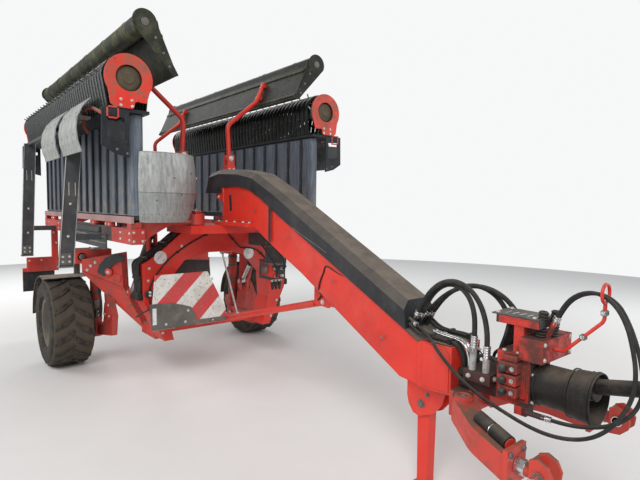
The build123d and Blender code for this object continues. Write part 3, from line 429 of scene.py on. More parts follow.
def board_look():
    """White sheet with broad red stripes that rise to the left side, chipped and dusty."""
    n = Nodes("board_sheet")
    _, y, z = n.axes()
    across = n.times(n.math("SUBTRACT", y, z), 0.7071)
    turn = n.math("FRACT", n.math("DIVIDE", n.plus(across, STRIPE_START), STRIPE_PITCH))
    stripe = n.times(n.ramp(turn, 0.0, 0.012), n.ramp(turn, 0.474, 0.486, 1.0, 0.0))
    fleck = n.noise(46.0, 4.0, 0.7)
    cloud = n.noise(8.0, 5.0, 0.6)
    white = n.mix(n.ramp(cloud, 0.4, 0.7), (0.7, 0.7, 0.66), (0.55, 0.54, 0.48))
    red = n.mix(n.ramp(cloud, 0.4, 0.7), (0.6, 0.045, 0.05), (0.48, 0.06, 0.055))
    n.body = n.mix(stripe, white, red)
    n.over(n.ramp(fleck, 0.56, 0.66, 0.0, 0.8), (0.19, 0.185, 0.165))
    n.edges(EDGE_SOFT)  # only for the softer shading that bump takes up
    n.colour(n.body)
    n.roughness(n.ramp(cloud, 0.3, 0.7, 0.35, 0.6))
    n.bump(fleck, 0.15, 0.0008)
    return n.material


def lens_look(name, base):
    """Ribbed lamp plastic with a film of dust."""
    n = Nodes(name)
    ribs = n.sine(n.axes()[1], LENS_RIBS)
    cloud = n.noise(20.0, 5.0, 0.6)
    n.colour(n.mix(n.ramp(cloud, 0.45, 0.75, 0.05, 0.6), base, DUST))
    n.roughness(n.ramp(cloud, 0.3, 0.7, 0.2, 0.5))
    n.set("Coat Weight", 0.4)
    n.bump(ribs, 0.3, 0.0008)
    return n.material


RED, DEEP, RED_EDGE = (0.72, 0.032, 0.016), (0.56, 0.024, 0.014), (0.82, 0.16, 0.1)
DULL, DULL_DEEP, DULL_EDGE = (0.6, 0.045, 0.028), (0.42, 0.04, 0.03), (0.7, 0.2, 0.15)
FRAME, FRAME_DEEP = (0.6, 0.04, 0.025), (0.4, 0.04, 0.03)
CAST_BLACK, CAST_GREY = (0.016, 0.016, 0.017), (0.4, 0.4, 0.38)
RAIL_BLACK, PALE_BAND = (0.03, 0.031, 0.034), (0.4, 0.235, 0.225)
# Each zone: limits of axis, low and high, then its colour
BOX_ZONES = (
    (((0, 2.0, 2.846),), CAST_BLACK),
    (((0, 2.0, 2.846), (2, 0.942, 1.1), (1, -0.2, -0.06)), CAST_GREY),
    (((0, 2.0, 2.9), (2, 0.942, 1.2), (1, 0.14, 0.21)), CAST_GREY),
    (((0, 3.034, 3.2), (2, 0.7, 1.0695)), CAST_BLACK),
)
FRAME_ZONES = (
    (((0, -2.62, -0.72), (1, 0.96, 1.09), (2, 1.45, 1.66)), RAIL_BLACK),
    (((0, -2.62, -0.72), (1, -1.09, -0.96), (2, 1.45, 1.66)), RAIL_BLACK),
    (((1, 1.055, 1.1), (2, 1.6885, 1.7535)), PALE_BAND),
    (((1, -1.1, -1.055), (2, 1.6885, 1.7535)), PALE_BAND),
)
LOOKS = {
    "red": painted("red_paint", RED, DEEP, 0.38, 0.3, edge=RED_EDGE, wear=0.6, films=0.5),
    "casing": painted("casing_red", RED, DEEP, 0.38, 0.95, (0.05, 0.03, 0.024), RED_EDGE, 0.6, 0.95,
        spread=0.09, zones=BOX_ZONES),
    "yoke": painted("yoke_red", DULL, DULL_DEEP, 0.42, 0.95, (0.13, 0.08, 0.052), DULL_EDGE,
        films=0.6, even=0.4),
    "frame": painted("frame_red", FRAME, FRAME_DEEP, 0.38, 0.75, edge=DULL_EDGE, zones=FRAME_ZONES),
    "faded": painted("faded_red", (0.55, 0.1, 0.08), (0.42, 0.11, 0.09), 0.45, 0.95,
        edge=(0.7, 0.3, 0.25), films=0.9),
    "soiled": painted("soiled_red", FRAME, FRAME_DEEP, 0.38, 0.75, edge=DULL_EDGE),
    "plate": painted("plate_red", RED, DEEP, 0.38, 0.8, (0.14, 0.11, 0.065), RED_EDGE, 0.6,
        0.95, spread=0.05),
    "arm": painted("arm_red", DULL, DULL_DEEP, 0.42, 0.9, (0.14, 0.08, 0.06), DULL_EDGE, films=0.75,
        even=0.5, spread=0.04),
    "black": painted("black_paint", (0.02, 0.022, 0.024), (0.034, 0.036, 0.038), 0.36, 0.35,
        edge=(0.22, 0.23, 0.23), wear=0.5, shine=0.28),
    "band": painted("band_black", (0.01, 0.011, 0.012), (0.018, 0.021, 0.021), 0.3, 0.15, STRAW,
        (0.1, 0.12, 0.11), 0.4, shine=0.22),
    "dark": painted("dark_steel", (0.04, 0.044, 0.05), (0.065, 0.068, 0.072), 0.48, 0.45,
        edge=(0.32, 0.32, 0.31), shine=0.3),
    "hood": painted("hood_black", (0.014, 0.016, 0.013), (0.035, 0.038, 0.02), 0.5, 0.75, STRAW,
        (0.22, 0.22, 0.12), 0.5, shine=0.22),
    "hood_sheet": painted("hood_sheet", (0.016, 0.017, 0.015), (0.034, 0.036, 0.024), 0.5, 0.62,
        (0.21, 0.2, 0.12), (0.22, 0.22, 0.14), 0.5, shine=0.22),
    # A darker, less dusty copy of the hood look for the left hood and roller: painted shade
    "hood_dark": painted("hood_dark", (0.011, 0.011, 0.01), (0.022, 0.022, 0.018), 0.5, 0.22, STRAW,
        (0.12, 0.12, 0.09), 0.4, shine=0.22),
    "dusty": painted("dusty_top", (0.1, 0.085, 0.06), (0.16, 0.13, 0.09), 0.8, 0.6, CLAY,
        (0.3, 0.27, 0.2), shine=0.2),
    "cup": painted("dusty_cup", (0.075, 0.06, 0.04), (0.12, 0.095, 0.062), 0.8, 0.5, CLAY,
        (0.16, 0.14, 0.1), shine=0.2),
    "flap": painted("flap_grey", (0.075, 0.073, 0.066), (0.125, 0.12, 0.105), 0.6, 0.7,
        edge=(0.3, 0.28, 0.25), films=0.7),
    # The pickup frame's black paint, made darker still: painted shade where the pickup lies in shadow
    "shade": painted("pickup_dark", (0.014, 0.018, 0.023), (0.026, 0.03, 0.036), 0.5, 0.25,
        edge=(0.14, 0.14, 0.14), shine=0.2),
    "cover": painted("cover_black", (0.02, 0.021, 0.025), (0.034, 0.035, 0.04), 0.48, 0.62,
        edge=(0.26, 0.25, 0.23), wear=0.35, films=0.14, shine=0.28, even=0.62),
    "fender": painted("fender_black", (0.05, 0.045, 0.04), (0.12, 0.1, 0.085), 0.75, 1.0, (0.3, 0.26, 0.22),
        (0.3, 0.28, 0.25), films=0.9, shine=0.25),
    "guard": painted("guard_plastic", (0.011, 0.01, 0.009), (0.022, 0.02, 0.018), 0.48, 0.3,
        edge=(0.13, 0.12, 0.11), shine=0.22),
    "rim": painted("rim_paint", (0.1, 0.09, 0.08), (0.18, 0.15, 0.12), 0.7, 0.8, CLAY, (0.3, 0.27, 0.24)),
    "bright": metal("bright_steel", (0.66, 0.66, 0.66), (0.42, 0.42, 0.42), 0.22, 0.95, soil=0.3),
    "zinc": metal("zinc_plate", (0.72, 0.71, 0.66), (0.5, 0.48, 0.42), 0.38, 0.6, soil=0.4),
    "grime": metal("grimy_steel", (0.16, 0.15, 0.14), (0.08, 0.075, 0.07), 0.55, 0.5, soil=0.6),
    "belt": belt_look(),
    "tyre": tyre_look(),
    "worn": worn_look(),
    "dish": worn_look("dish_sheet", 1.985),
    "hose": hose_look(),
    "board": board_look(),
    "lens_red": lens_look("lens_red", (0.42, 0.012, 0.012)),
    "lens_amber": lens_look("lens_amber", (0.72, 0.2, 0.015)),
    "lens_white": lens_look("lens_white", (0.74, 0.76, 0.76)),
}
# Each look with the solids that wear it; a name without its side stands for both, and hoses are the rest
LOOK_NODES = {
    "red": ("hood_arms", "chassis_arch", "drawbar", "drawbar_head", "stand_leg", "hose_holder",
            "support_strut"),
    "black": ("lift_barrel",),
    "dark": ("reel", "skid_posts", "hydraulic_motor"),
    "bright": ("lift_rod", "hitch_pins"),
    "guard": ("pto_guard", "pto_shaft"),
    # The left hood and roller wear the darker copy: painted shade
    "hood_dark": ("hood_left", "hood_roller_left"),
    "hood": ("hood_roller",),
    "hood_sheet": ("hood",),
    "plate": ("end_plates",),
    "band": ("bands",),
    # The pickup frame's darker black is partly painted shade
    "shade": ("pickup_frame",),
    "frame": ("head_frame",),
    "worn": ("skid_shoes",),
    "soiled": ("lamp_board",),
    "arm": ("wheel_arm",),
    "cover": ("drawbar_cover",),
    "yoke": ("hitch_yoke",),
    "casing": ("gearbox",),
    "board": ("warning_board",),
    "belt": ("belt",),
    "dish": ("dish",),
    "fender": ("fender",),
    "rim": ("rim",),
    "tyre": ("tyre",),
}
NODE_LOOK = {node: look for look, wearers in LOOK_NODES.items() for node in wearers}


def dress_nodes():
    """Gives every solid and every hose its look."""
    for name, piece in nodes.items():
        plain = name.replace("_left", "").replace("_right", "")
        look = NODE_LOOK.get(name, NODE_LOOK.get(plain, "hose"))
        piece.data.materials.clear()
        piece.data.materials.append(LOOKS[look])
    for hose in hoses:
        hose.data.materials.append(LOOKS["hose"])


dress_nodes()

# Meshes
SHARP_ANGLE = radians(38)
MIRROR = Matrix.Scale(-1, 4, LEFT)


class Shape:
    """Collects the faces of one joined piece, in metres, in the machine's frame."""

    def __init__(self):
        self.mesh = bmesh.new()

    def skin(self, rings, closed_ends=True):
        """Faces between rings of points; a ring of one point closes an end by itself."""
        made = [[self.mesh.verts.new(point) for point in ring] for ring in rings]
        for a, b in zip(made, made[1:]):
            count = max(len(a), len(b))
            for i in range(count):
                j = (i + 1) % count
                corners = (a[i % len(a)], a[j % len(a)], b[j % len(b)], b[i % len(b)])
                self.mesh.faces.new(list(dict.fromkeys(corners)))
        for ring in (made[0], made[-1]):
            if closed_ends and len(ring) > 2:
                self.mesh.faces.new(ring)

    def lathe(self, start, run, rows, sides=20, open_ends=False):
        """Rings about a line from start along run: each row is a distance and a radius, 0 for a point."""
        run = Vector(run).normalized()
        across = run.orthogonal().normalized()
        other = run.cross(across)
        rings = []
        for distance, radius in rows:
            centre = Vector(start) + run * distance
            angles = [2 * pi * i / sides for i in range(sides)] if radius else [0.0]
            rings.append([centre + radius * (cos(a) * across + sin(a) * other) for a in angles])
        self.skin(rings, not open_ends)

    def turned(self, place, normal, rows, sides=20):
        """A closed turned piece: rows of reach and radius, the first radius from the place on."""
        self.lathe(place, normal, [(0, rows[0][1]), *rows, (rows[-1][0], 0)], sides)

    def stepped(self, place, normal, steps, sides=20):
        """A plug turned in steps: each has its reach from the place and its radius."""
        rows, reached = [], 0
        for reach, radius in steps:
            rows += [(reached, radius), (reach, radius)]
            reached = reach
        self.lathe(place, normal, [*rows, (reached, 0)], sides)

    def rod(self, start, end, radius, sides=16):
        """A round bar between two points, with a small chamfer at each end."""
        chamfer = 0.002
        run = Vector(end) - Vector(start)
        long = run.length
        rows = [(0, radius - chamfer), (chamfer, radius), (long - chamfer, radius), (long, radius - chamfer)]
        self.lathe(start, run, rows, sides)

    def prism(self, points, depth, bevel=0.0):
        """A flat outline drawn out along a vector, its edges rounded off if bevel is given."""
        low = [self.mesh.verts.new(point) for point in points]
        high = [self.mesh.verts.new(Vector(point) + Vector(depth)) for point in points]
        faces = [self.mesh.faces.new(low), self.mesh.faces.new(high)]
        for i in range(len(low)):
            j = (i + 1) % len(low)
            faces.append(self.mesh.faces.new((low[i], low[j], high[j], high[i])))
        if bevel:
            edges = list({edge for face in faces for edge in face.edges})
            bmesh.ops.bevel(self.mesh, geom=edges, offset=bevel, segments=2, affect="EDGES",
                clamp_overlap=True)

    def slab(self, x, thick, outline, bevel=0.0):
        """A flat plate across X from an outline of Y and Z."""
        self.prism([(x, y, z) for y, z in outline], (thick, 0, 0), bevel)

    def box(self, low, high, bevel=0.002):
        """A box between two corners."""
        (x0, y0, z0), (x1, y1, z1) = low, high
        self.prism([(x0, y0, z0), (x1, y0, z0), (x1, y1, z0), (x0, y1, z0)], (0, 0, z1 - z0), bevel)

    def tube(self, points, radius, sides=10):
        """A round bar through points; at each it is square to the run between its neighbours."""
        rings = []
        last = None
        for i, point in enumerate(points):
            run = (points[min(i + 1, len(points) - 1)] - points[max(i - 1, 0)]).normalized()
            across = run.orthogonal() if last is None else last - run * last.dot(run)
            across.normalize()
            last = across
            other = run.cross(across)
            rings.append([point + radius * (cos(a) * across + sin(a) * other)
                for a in (2 * pi * k / sides for k in range(sides))])
        self.skin(rings)

    def bent(self, points, radius, sides=10):
        """A round bar on a smooth curve through points."""
        self.tube(smooth_line(points), radius, sides)

    def bolt(self, place, normal, size=0.012, washer=True):
        """A hexagon head on a washer."""
        if washer:
            self.lathe(place, normal, ((0, 1.35 * size), (0.22 * size, 1.35 * size),
                (0.22 * size, 0.9 * size)), 14)
        rows = ((0.15 * size, size), (0.75 * size, size), (0.9 * size, 0.8 * size), (0.9 * size, 0))
        self.lathe(place, normal, rows, 6)

    def bolts(self, xs, ys, zs, normal, size=0.012):
        """Bolts at every mix of the places given along X, Y and Z, each one number or several."""
        for place in product(*(v if isinstance(v, tuple) else (v,) for v in (xs, ys, zs))):
            self.bolt(place, normal, size)

    def put(self, name, body, look, mirror=False):
        """Makes the object, mirrored about the middle plane if asked, with its body and look."""
        mesh = bpy.data.meshes.new(name)
        bmesh.ops.recalc_face_normals(self.mesh, faces=self.mesh.faces)
        self.mesh.to_mesh(mesh)
        if mirror:
            mesh.transform(MIRROR)
            mesh.flip_normals()
        mesh.materials.append(LOOKS[look])
        mesh.shade_smooth()
        mesh.set_sharp_from_angle(angle=SHARP_ANGLE)
        piece = bpy.data.objects.new(name, mesh)
        bpy.context.scene.collection.objects.link(piece)
        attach(piece, body)
        return piece


def put_pair(name, shape, body, look):
    """A piece on the left and its mirror image on the right; on the chassis both ride on one body."""
    made = []
    for side in ("left", "right"):
        owner = body if body == "chassis" else f"{body}_{side}"
        made.append(shape.put(f"{name}_{side}", owner, look, mirror=side == "right"))
    return made


def shapes(count):
    """Fresh shapes, one for each piece of a group."""
    return [Shape() for _ in range(count)]


def put_all(body, made, **looks):
    """Puts shapes down in order; each keyword is a piece's name, with its look."""
    for shape, (name, look) in zip(made, looks.items(), strict=True):
        shape.put(name, body, look)


def put_pairs(body, made, **looks):
    """The same for shapes on the left, each with its mirror image on the right."""
    for shape, (name, look) in zip(made, looks.items(), strict=True):
        put_pair(name, shape, body, look)


def circle(count, radius, first=0.0):
    """Places round a circle, from an angle in degrees."""
    angles = (radians(first) + 2 * pi * i / count for i in range(count))
    return [(radius * cos(a), radius * sin(a)) for a in angles]


def ripples(count, pitch, radius, rise, steps):
    """Rows of a rippled sleeve: each ripple rises and falls back at four distances."""
    lifts = (0, rise, rise, 0)
    return [(pitch * i + at, radius + lift) for i in range(count) for at, lift in zip(steps, lifts)]


def smooth_line(points, steps=8):
    """Points on a smooth curve through the given ones."""
    knots = [Vector(p) for p in points]
    knots = [2 * knots[0] - knots[1]] + knots + [2 * knots[-1] - knots[-2]]
    line = []
    for a, b, c, d in zip(knots, knots[1:], knots[2:], knots[3:]):
        for i in range(steps):
            t = i / steps
            line.append(0.5 * (2 * b + (c - a) * t + (2 * a - 5 * b + 4 * c - d) * t**2
                + (3 * b - a - 3 * c + d) * t**3))
    return line + [knots[-2]]


# Pickup heads: values shared with the solids, in metres; the reel's axis is at Y and Z on the left
HEAD_FRONT = -0.083
HEAD_REAR = -3.933
PLATE = 0.012
HUB_DEPTH = 0.06
MOVE_GAP = 0.006
REEL = (1.108, 2.943)
BEAM_TOP = 2.684
BAND_COUNT = 46
BAND_GAP = 0.02
BAND_RADIUS = 0.207
SLAT_COUNT = 14
BELT_FRONT = -0.203
BELT_REAR = -3.813


def round_plate(angle, radius, x):
    """A point on the reel's end plate."""
    return (x, REEL[0] + radius * cos(radians(angle)), REEL[1] + radius * sin(radians(angle)))


def make_bands():
    """Crowned bands with turned-in edges, in place of the plain strips."""
    shape = Shape()
    bolts = Shape()
    first = HEAD_FRONT - PLATE - HUB_DEPTH - MOVE_GAP
    pitch = (HEAD_FRONT - HEAD_REAR - 2 * (PLATE + HUB_DEPTH + MOVE_GAP)) / BAND_COUNT
    half = (pitch - BAND_GAP) / 2
    # Each corner of a band's section: along X and out of the band
    section = ((-half, -0.013), (-half, -0.003), (-half + 0.004, 0.0), (-0.008, 0.002), (0.008, 0.002),
        (half - 0.004, 0.0), (half, -0.003), (half, -0.013), (half - 0.003, -0.013), (half - 0.004, -0.004),
        (0, -0.002), (-half + 0.004, -0.004), (-half + 0.003, -0.013))
    turns = [radians(8 + 164 * i / 22) for i in range(23)]
    # Each place on a band: Y, Z and the angle of the way out there
    path = [(REEL[0] + 0.1565, BEAM_TOP, 0.0), (REEL[0] + 0.172, BEAM_TOP + 0.1, 0.0)]
    path += [(REEL[0] + BAND_RADIUS * cos(a), REEL[1] + BAND_RADIUS * sin(a), a) for a in turns]
    path += [(REEL[0] - 0.194, BEAM_TOP + 0.12, pi), (REEL[0] - 0.181, BEAM_TOP, pi)]
    for i in range(BAND_COUNT):
        x = first - (i + 0.5) * pitch
        shape.skin([[(x + s, y + out * cos(a), z + out * sin(a)) for s, out in section] for y, z, a in path])
        bolts.bolt((x, REEL[0] + 0.1585, BEAM_TOP + 0.016), (0, 1, -0.1), 0.008)
    for piece in put_pair("bands_bent", shape, "head", "band"):
        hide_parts(piece.name.replace("_bent", ""))
    put_pair("band_bolts", bolts, "head", "grime")


def make_belt_rivets():
    """Rivets along every slat of the belts, on both runs."""
    rivets = Shape()
    pitch = (BELT_FRONT - BELT_REAR) / SLAT_COUNT
    for i in range(SLAT_COUNT):
        x = BELT_FRONT - (i + 0.5) * pitch
        for y, face in ((1.085, 1), (0.935, -1)):
            for z in (1.82, 1.98, 2.14, 2.3, 2.46, 2.59):
                rivets.lathe((x, y - face * 0.0005, z), (0, face, 0),
                    ((0, 0.008), (0.0022, 0.006), (0.003, 0)), 8)
    put_pair("belt_rivets", rivets, "head", "grime")


# The window below each end plate on the left: its limits in Y and Z and its frame's width
WINDOW_Y = (1.197, 1.3)
WINDOW_Z = (2.585, 2.69)
WINDOW_RIM = 0.014


def make_end_trim():
    """The end plates' bolts, the hub covers and the window frame below each plate."""
    dark, pale, cups, frame, cover = made = shapes(5)
    for x, out in ((HEAD_FRONT, 1), (HEAD_REAR, -1)):
        normal = (out, 0, 0)
        for angle in (8, 52, 96, 140, 184, 228, 322):
            dark.lathe(round_plate(angle, 0.186, x), normal, ((0, 0.0075), (0.003, 0.0075), (0.004, 0)), 12)
        dark.lathe((x, REEL[0] - 0.005, REEL[1] - 0.136), normal,
            ((0, 0.008), (0.003, 0.008), (0.004, 0)), 12)
        # Y and Z of each bolt from the reel's axis
        for y, z in ((0.07, -0.186), (-0.022, -0.186), (0.071, -0.236), (-0.026, -0.236)):
            pale.bolt((x, REEL[0] + y, REEL[1] + z), normal, 0.0095)
        inward = x - out * 0.042
        rows = ((0.012, 0.109), (0.018, 0.1), (0.025, 0.06), (0.028, 0.05), (0.036, 0.046))
        cups.turned((inward, *REEL), normal, rows, 40)
        for dy, dz in circle(6, 0.088, 20):
            cups.bolt((inward + out * 0.0165, REEL[0] + dy, REEL[1] + dz), normal, 0.006)
        (y0, y1), (z0, z1), rim = WINDOW_Y, WINDOW_Z, WINDOW_RIM
        x1 = x + out * 0.006
        for low, high in (((y0, z0), (y0 + rim, z1)), ((y1 - rim, z0), (y1, z1)), ((y0, z0), (y1, z0 + rim)),
                ((y0, z1 - rim), (y1, z1))):
            frame.box((min(x, x1), *low), (max(x, x1), *high), 0.001)
        cover.slab(x - out * 0.004, out * 0.003,
            ((1.146, 2.416), (1.294, 2.436), (1.294, 2.566), (1.146, 2.56)))
        for y, z in ((1.215, 2.33), (1.13, 2.3)):
            dark.bolt((x, y, z), normal, 0.008)
    put_pairs("head", made, end_plate_studs="grime", end_plate_bolts="zinc", hub_covers="cup",
        window_frames="soiled", window_covers="black")


def make_head_extras():
    """The handle behind the first shoe, the perforated rail, the feeder blocks and the beam's bolts."""
    handle = Shape()
    handle.bent(((-0.3, 1.24, 2.64), (-0.42, 1.285, 2.7), (-0.56, 1.3, 2.738), (-0.7, 1.305, 2.738),
        (-0.785, 1.3, 2.69), (-0.79, 1.296, 2.6), (-0.782, 1.262, 2.54)), 0.016, 12)
    put_pair("shoe_handle", handle, "head", "faded")
    rail, dots = made = shapes(2)
    rail.box((-2.46, 1.0855, 1.415), (-0.86, 1.098, 1.56), 0.002)
    rail.box((-2.3, 1.0855, 1.572), (-1.06, 1.112, 1.628), 0.006)
    for i in range(52):
        for z in (1.532, 1.47):
            x = -0.9 - i * 0.03
            dots.lathe((x, 1.0978, z), LEFT, ((0, 0.0055), (0.0012, 0.005), (0.0012, 0)), 8)
    put_pairs("head", made, side_rail="dark", side_rail_holes="zinc")
    blocks, bolts = made = shapes(2)
    for x in (-0.82, -1.36, -2.62, -3.3):
        blocks.box((x - 0.085, 1.04, 1.6405), (x + 0.085, 1.094, 1.69), 0.004)
        for dx in (-0.055, 0.055):
            bolts.bolt((x + dx, 1.094, 1.664), LEFT, 0.009)
    bolts.bolts((-0.2, -0.45, -2.75, -3.0, -3.6, -3.8), 1.085, (1.6, 1.54), LEFT, 0.01)
    bolts.bolts(-0.143, (0.985, 1.065), (1.53, 1.61), FORE, 0.009)
    put_pairs("head", made, feeder_blocks="soiled", beam_bolts="zinc")


def make_shoes():
    """Countersunk bolts, a worn edge bar at the foot of each shoe and its rolled side edges."""
    # Y and Z down a shoe's face
    rows = ((1.336, 2.8), (1.408, 2.716), (1.45, 2.62), (1.462, 2.53), (1.452, 2.42), (1.42, 2.33))
    bolts, edge = made = shapes(2)
    for x in (-0.74, -1.58):
        for (ya, za), (yb, zb) in ((rows[1], rows[2]), (rows[3], rows[4])):
            normal = (0, zb - za, ya - yb)
            normal = tuple(-v for v in normal) if normal[1] < 0 else normal
            for dx in (-0.22, 0.0, 0.22):
                bolts.lathe((x + dx, (ya + yb) / 2, (za + zb) / 2), normal,
                    ((0, 0.011), (0.002, 0.01), (0.002, 0)), 12)
        for dx in (-0.3235, 0.3165):
            corners = ((0, -0.01), (0, 0.002), (0.007, 0.002), (0.007, -0.01))
            edge.skin([[(x + dx + ahead, y + out, z) for ahead, out in corners] for y, z in rows])
        edge.slab(x - 0.322, 0.644, ((1.41, 2.322), (1.424, 2.32), (1.432, 2.352), (1.42, 2.352)))
    put_pairs("head", made, shoe_bolts="grime", shoe_edges="worn")


# Each post: X of its middle, then Z and Y at the top and at the foot
POSTS = ((-1.05, 2.42, 1.334, 1.24, 1.429), (-3.2, 2.64, 1.366, 1.17, 1.43))
POST_HALF = 0.062


def make_posts():
    """Flanges along the posts' edges in pale worn sheet, partly a painted highlight, worn slots near the top
    and the pads and bolts at the foot.
    """
    flange, slots, pad, bolts = made = shapes(4)
    for x, top, y_top, foot, y_foot in POSTS:
        # The flanges' pale worn look partly paints the bright highlight on the posts' edges
        for side in (-1, 1):
            high, low = y_top + side * POST_HALF, y_foot + side * POST_HALF
            corners = [(x + 0.022, high, top), (x + 0.022, high + side * 0.006, top),
                (x + 0.022, low + side * 0.006, foot), (x + 0.022, low, foot)]
            flange.prism(corners, (0.018, 0, 0), 0.001)
        for share in (0.26, 0.74):
            y = y_top + (y_foot - y_top) * 0.28 - 0.06 + 0.12 * share
            slots.box((x + 0.029, y - 0.004, top - 0.48), (x + 0.0315, y + 0.004, top - 0.35), 0.001)
        pad.box((x - 0.044, y_foot - 0.07, foot - 0.01), (x + 0.044, y_foot + 0.07, foot + 0.006), 0.003)
        pad.box((x + 0.03, y_foot - 0.05, foot + 0.02), (x + 0.038, y_foot + 0.05, foot + 0.13), 0.002)
        for z in (foot + 0.05, foot + 0.1):
            bolts.bolts(x + 0.038, (y_foot - 0.03, y_foot + 0.03), z, FORE, 0.009)
        for z in (foot + 0.3, foot + 0.62):
            y = y_foot + (y_top - y_foot) * (z - foot) / (top - foot)
            bolts.bolt((x + 0.03, y, z), FORE, 0.01)
    put_pairs("head", made, post_flanges="worn", post_slots="zinc", post_pads="grime", post_bolts="zinc")


def dish_point(angle, height, out=0.0):
    """A point on the right dish's face and the way out from it, at an angle from forward and a height."""
    # Height and radius down the dish
    rows = ((1.705, 0.395), (1.76, 0.413), (1.88, 0.425), (2.08, 0.425), (2.21, 0.415), (2.33, 0.399))
    radius = rows[-1][1]
    for (z0, r0), (z1, r1) in zip(rows, rows[1:]):
        if z0 <= height <= z1:
            radius = r0 + (r1 - r0) * (height - z0) / (z1 - z0)
    run = Vector((cos(radians(angle)), -sin(radians(angle)), 0))
    return Vector((-0.425, -0.8, height)) + run * (radius + out), run


def make_dish_trim():
    """Bolts, a bolt row near the lower bend and rolled rims on the deflector."""
    bolts, small, rim = made = shapes(3)
    for angle, height in ((-38, 2.155), (-8, 2.105), (-18, 1.955), (14, 1.9), (-58, 2.02)):
        place, run = dish_point(angle, height)
        bolts.lathe(place, run, ((-0.001, 0.01), (0.003, 0.009), (0.003, 0)), 12)
    for angle in range(-70, 34, 9):
        place, run = dish_point(angle, 1.775)
        small.lathe(place, run, ((-0.001, 0.006), (0.003, 0.005), (0.003, 0)), 10)
    for height in (1.706, 2.329):
        rim.tube([dish_point(a, height, -0.002)[0] for a in range(-77, 35, 4)], 0.006, 8)
    put_all("head_right", made, dish_bolts="grime", dish_bolt_row="grime", dish_rims="dish")


# X of the rear lamp boards, and Y and Z of the left round lamp
LAMP_X = -3.6
ROUND_LAMP = (1.15, 0.82)


def make_lamps():
    """A dark backing sheet, lenses with rims and the bracket's bolts on each rear lamp board."""
    sheet, rims, red, amber, bolts = made = shapes(5)
    sheet.box((LAMP_X + 0.0005, 1.034, 0.624), (LAMP_X + 0.006, 1.426, 0.898), 0.002)
    sheet.box((LAMP_X - 0.018, 1.034, 0.624), (LAMP_X - 0.0125, 1.426, 0.946), 0.002)
    back = LAMP_X - 0.06
    rims.lathe((back, *ROUND_LAMP), AFT, ((0, 0.074), (0.01, 0.074), (0.012, 0.068),
        (0.004, 0.066)), 32, True)
    red.lathe((back, *ROUND_LAMP), AFT, ((0, 0.066), (0.008, 0.062), (0.014, 0.04), (0.016, 0)), 32)
    rims.box((back - 0.01, 1.266, 0.736), (back + 0.002, 1.404, 0.904), 0.003)
    red.box((back - 0.018, 1.276, 0.746), (back - 0.009, 1.394, 0.816), 0.003)
    amber.box((back - 0.018, 1.276, 0.824), (back - 0.009, 1.394, 0.894), 0.003)
    for y, z in ((1.01, 1.3), (1.04, 1.45), (1.35, 1.06), (1.2, 1.06)):
        bolts.bolt((LAMP_X + 0.05, y, z), FORE, 0.01)
    put_pairs("head", made, lamp_backing="black", lamp_rims="black", lamp_red="lens_red",
        lamp_amber="lens_amber", lamp_bolts="zinc")


# Hoods: Y and Z of the left roller and of the left hood's tip
HOOD_ROLLER = (0.965, 3.452)
HOOD_TIP = (0.686, 3.03)
LIP_RADIUS = 0.107


def make_hoods():
    """Ribs over the hood's back, end plate bolts and lips, and the caps and rings of its roller."""
    ribs, bolts, lips = made = shapes(3)
    rings = Shape()
    back_low = Vector((0, HOOD_TIP[0] - 0.018, HOOD_TIP[1] + 0.012))
    back_high = Vector((0, 0.835, 3.422))
    run = (back_high - back_low).normalized()
    out = Vector((0, -run.z, run.y))
    for share in (0.1, 0.86):
        middle = back_low + (back_high - back_low) * share
        corners = [middle - run * 0.02, middle + run * 0.02, middle + run * 0.012 + out * 0.012,
            middle - run * 0.012 + out * 0.012]
        ribs.prism([Vector((HEAD_REAR + 0.02, p.y, p.z)) for p in corners],
            (HEAD_FRONT - HEAD_REAR - 0.04, 0, 0), 0.002)
    for x, side in ((HEAD_FRONT, 1), (HEAD_REAR, -1)):
        for y, z in ((0.87, 3.335), (0.8, 3.215), (0.745, 3.105)):
            bolts.bolt((x, y, z), (side, 0, 0), 0.009)
        bolts.stepped((x, *HOOD_ROLLER), (side, 0, 0), ((0.004, 0.034), (0.009, 0.017)), 20)
    angles = [radians(a) for a in range(-30, 211, 12)]
    arc = [(HOOD_ROLLER[0] + LIP_RADIUS * cos(a), HOOD_ROLLER[1] + LIP_RADIUS * sin(a)) for a in angles]
    for x in (HEAD_FRONT - 0.005, HEAD_REAR + 0.005):
        lips.tube([Vector((x, y, z)) for y, z in arc
            + [(HOOD_TIP[0] - 0.022, HOOD_TIP[1] + 0.012)]], 0.0045, 8)
    lips.tube([Vector((x, HOOD_TIP[0] + 0.004, HOOD_TIP[1] + 0.004))
        for x in (HEAD_REAR + 0.012, -2.0, HEAD_FRONT - 0.012)], 0.006, 8)
    for x in (-0.45, -1.1, -1.75, -2.4, -3.05, -3.6):
        rings.lathe((x, *HOOD_ROLLER), FORE, ((0, 0.091), (0.003, 0.0955), (0.017, 0.0955),
            (0.02, 0.091)), 40)
    put_pairs("hood", made, hood_ribs="hood", hood_bolts="grime", hood_lips="hood")
    put_pair("hood_roller_rings", rings, "hood_roller", "hood")


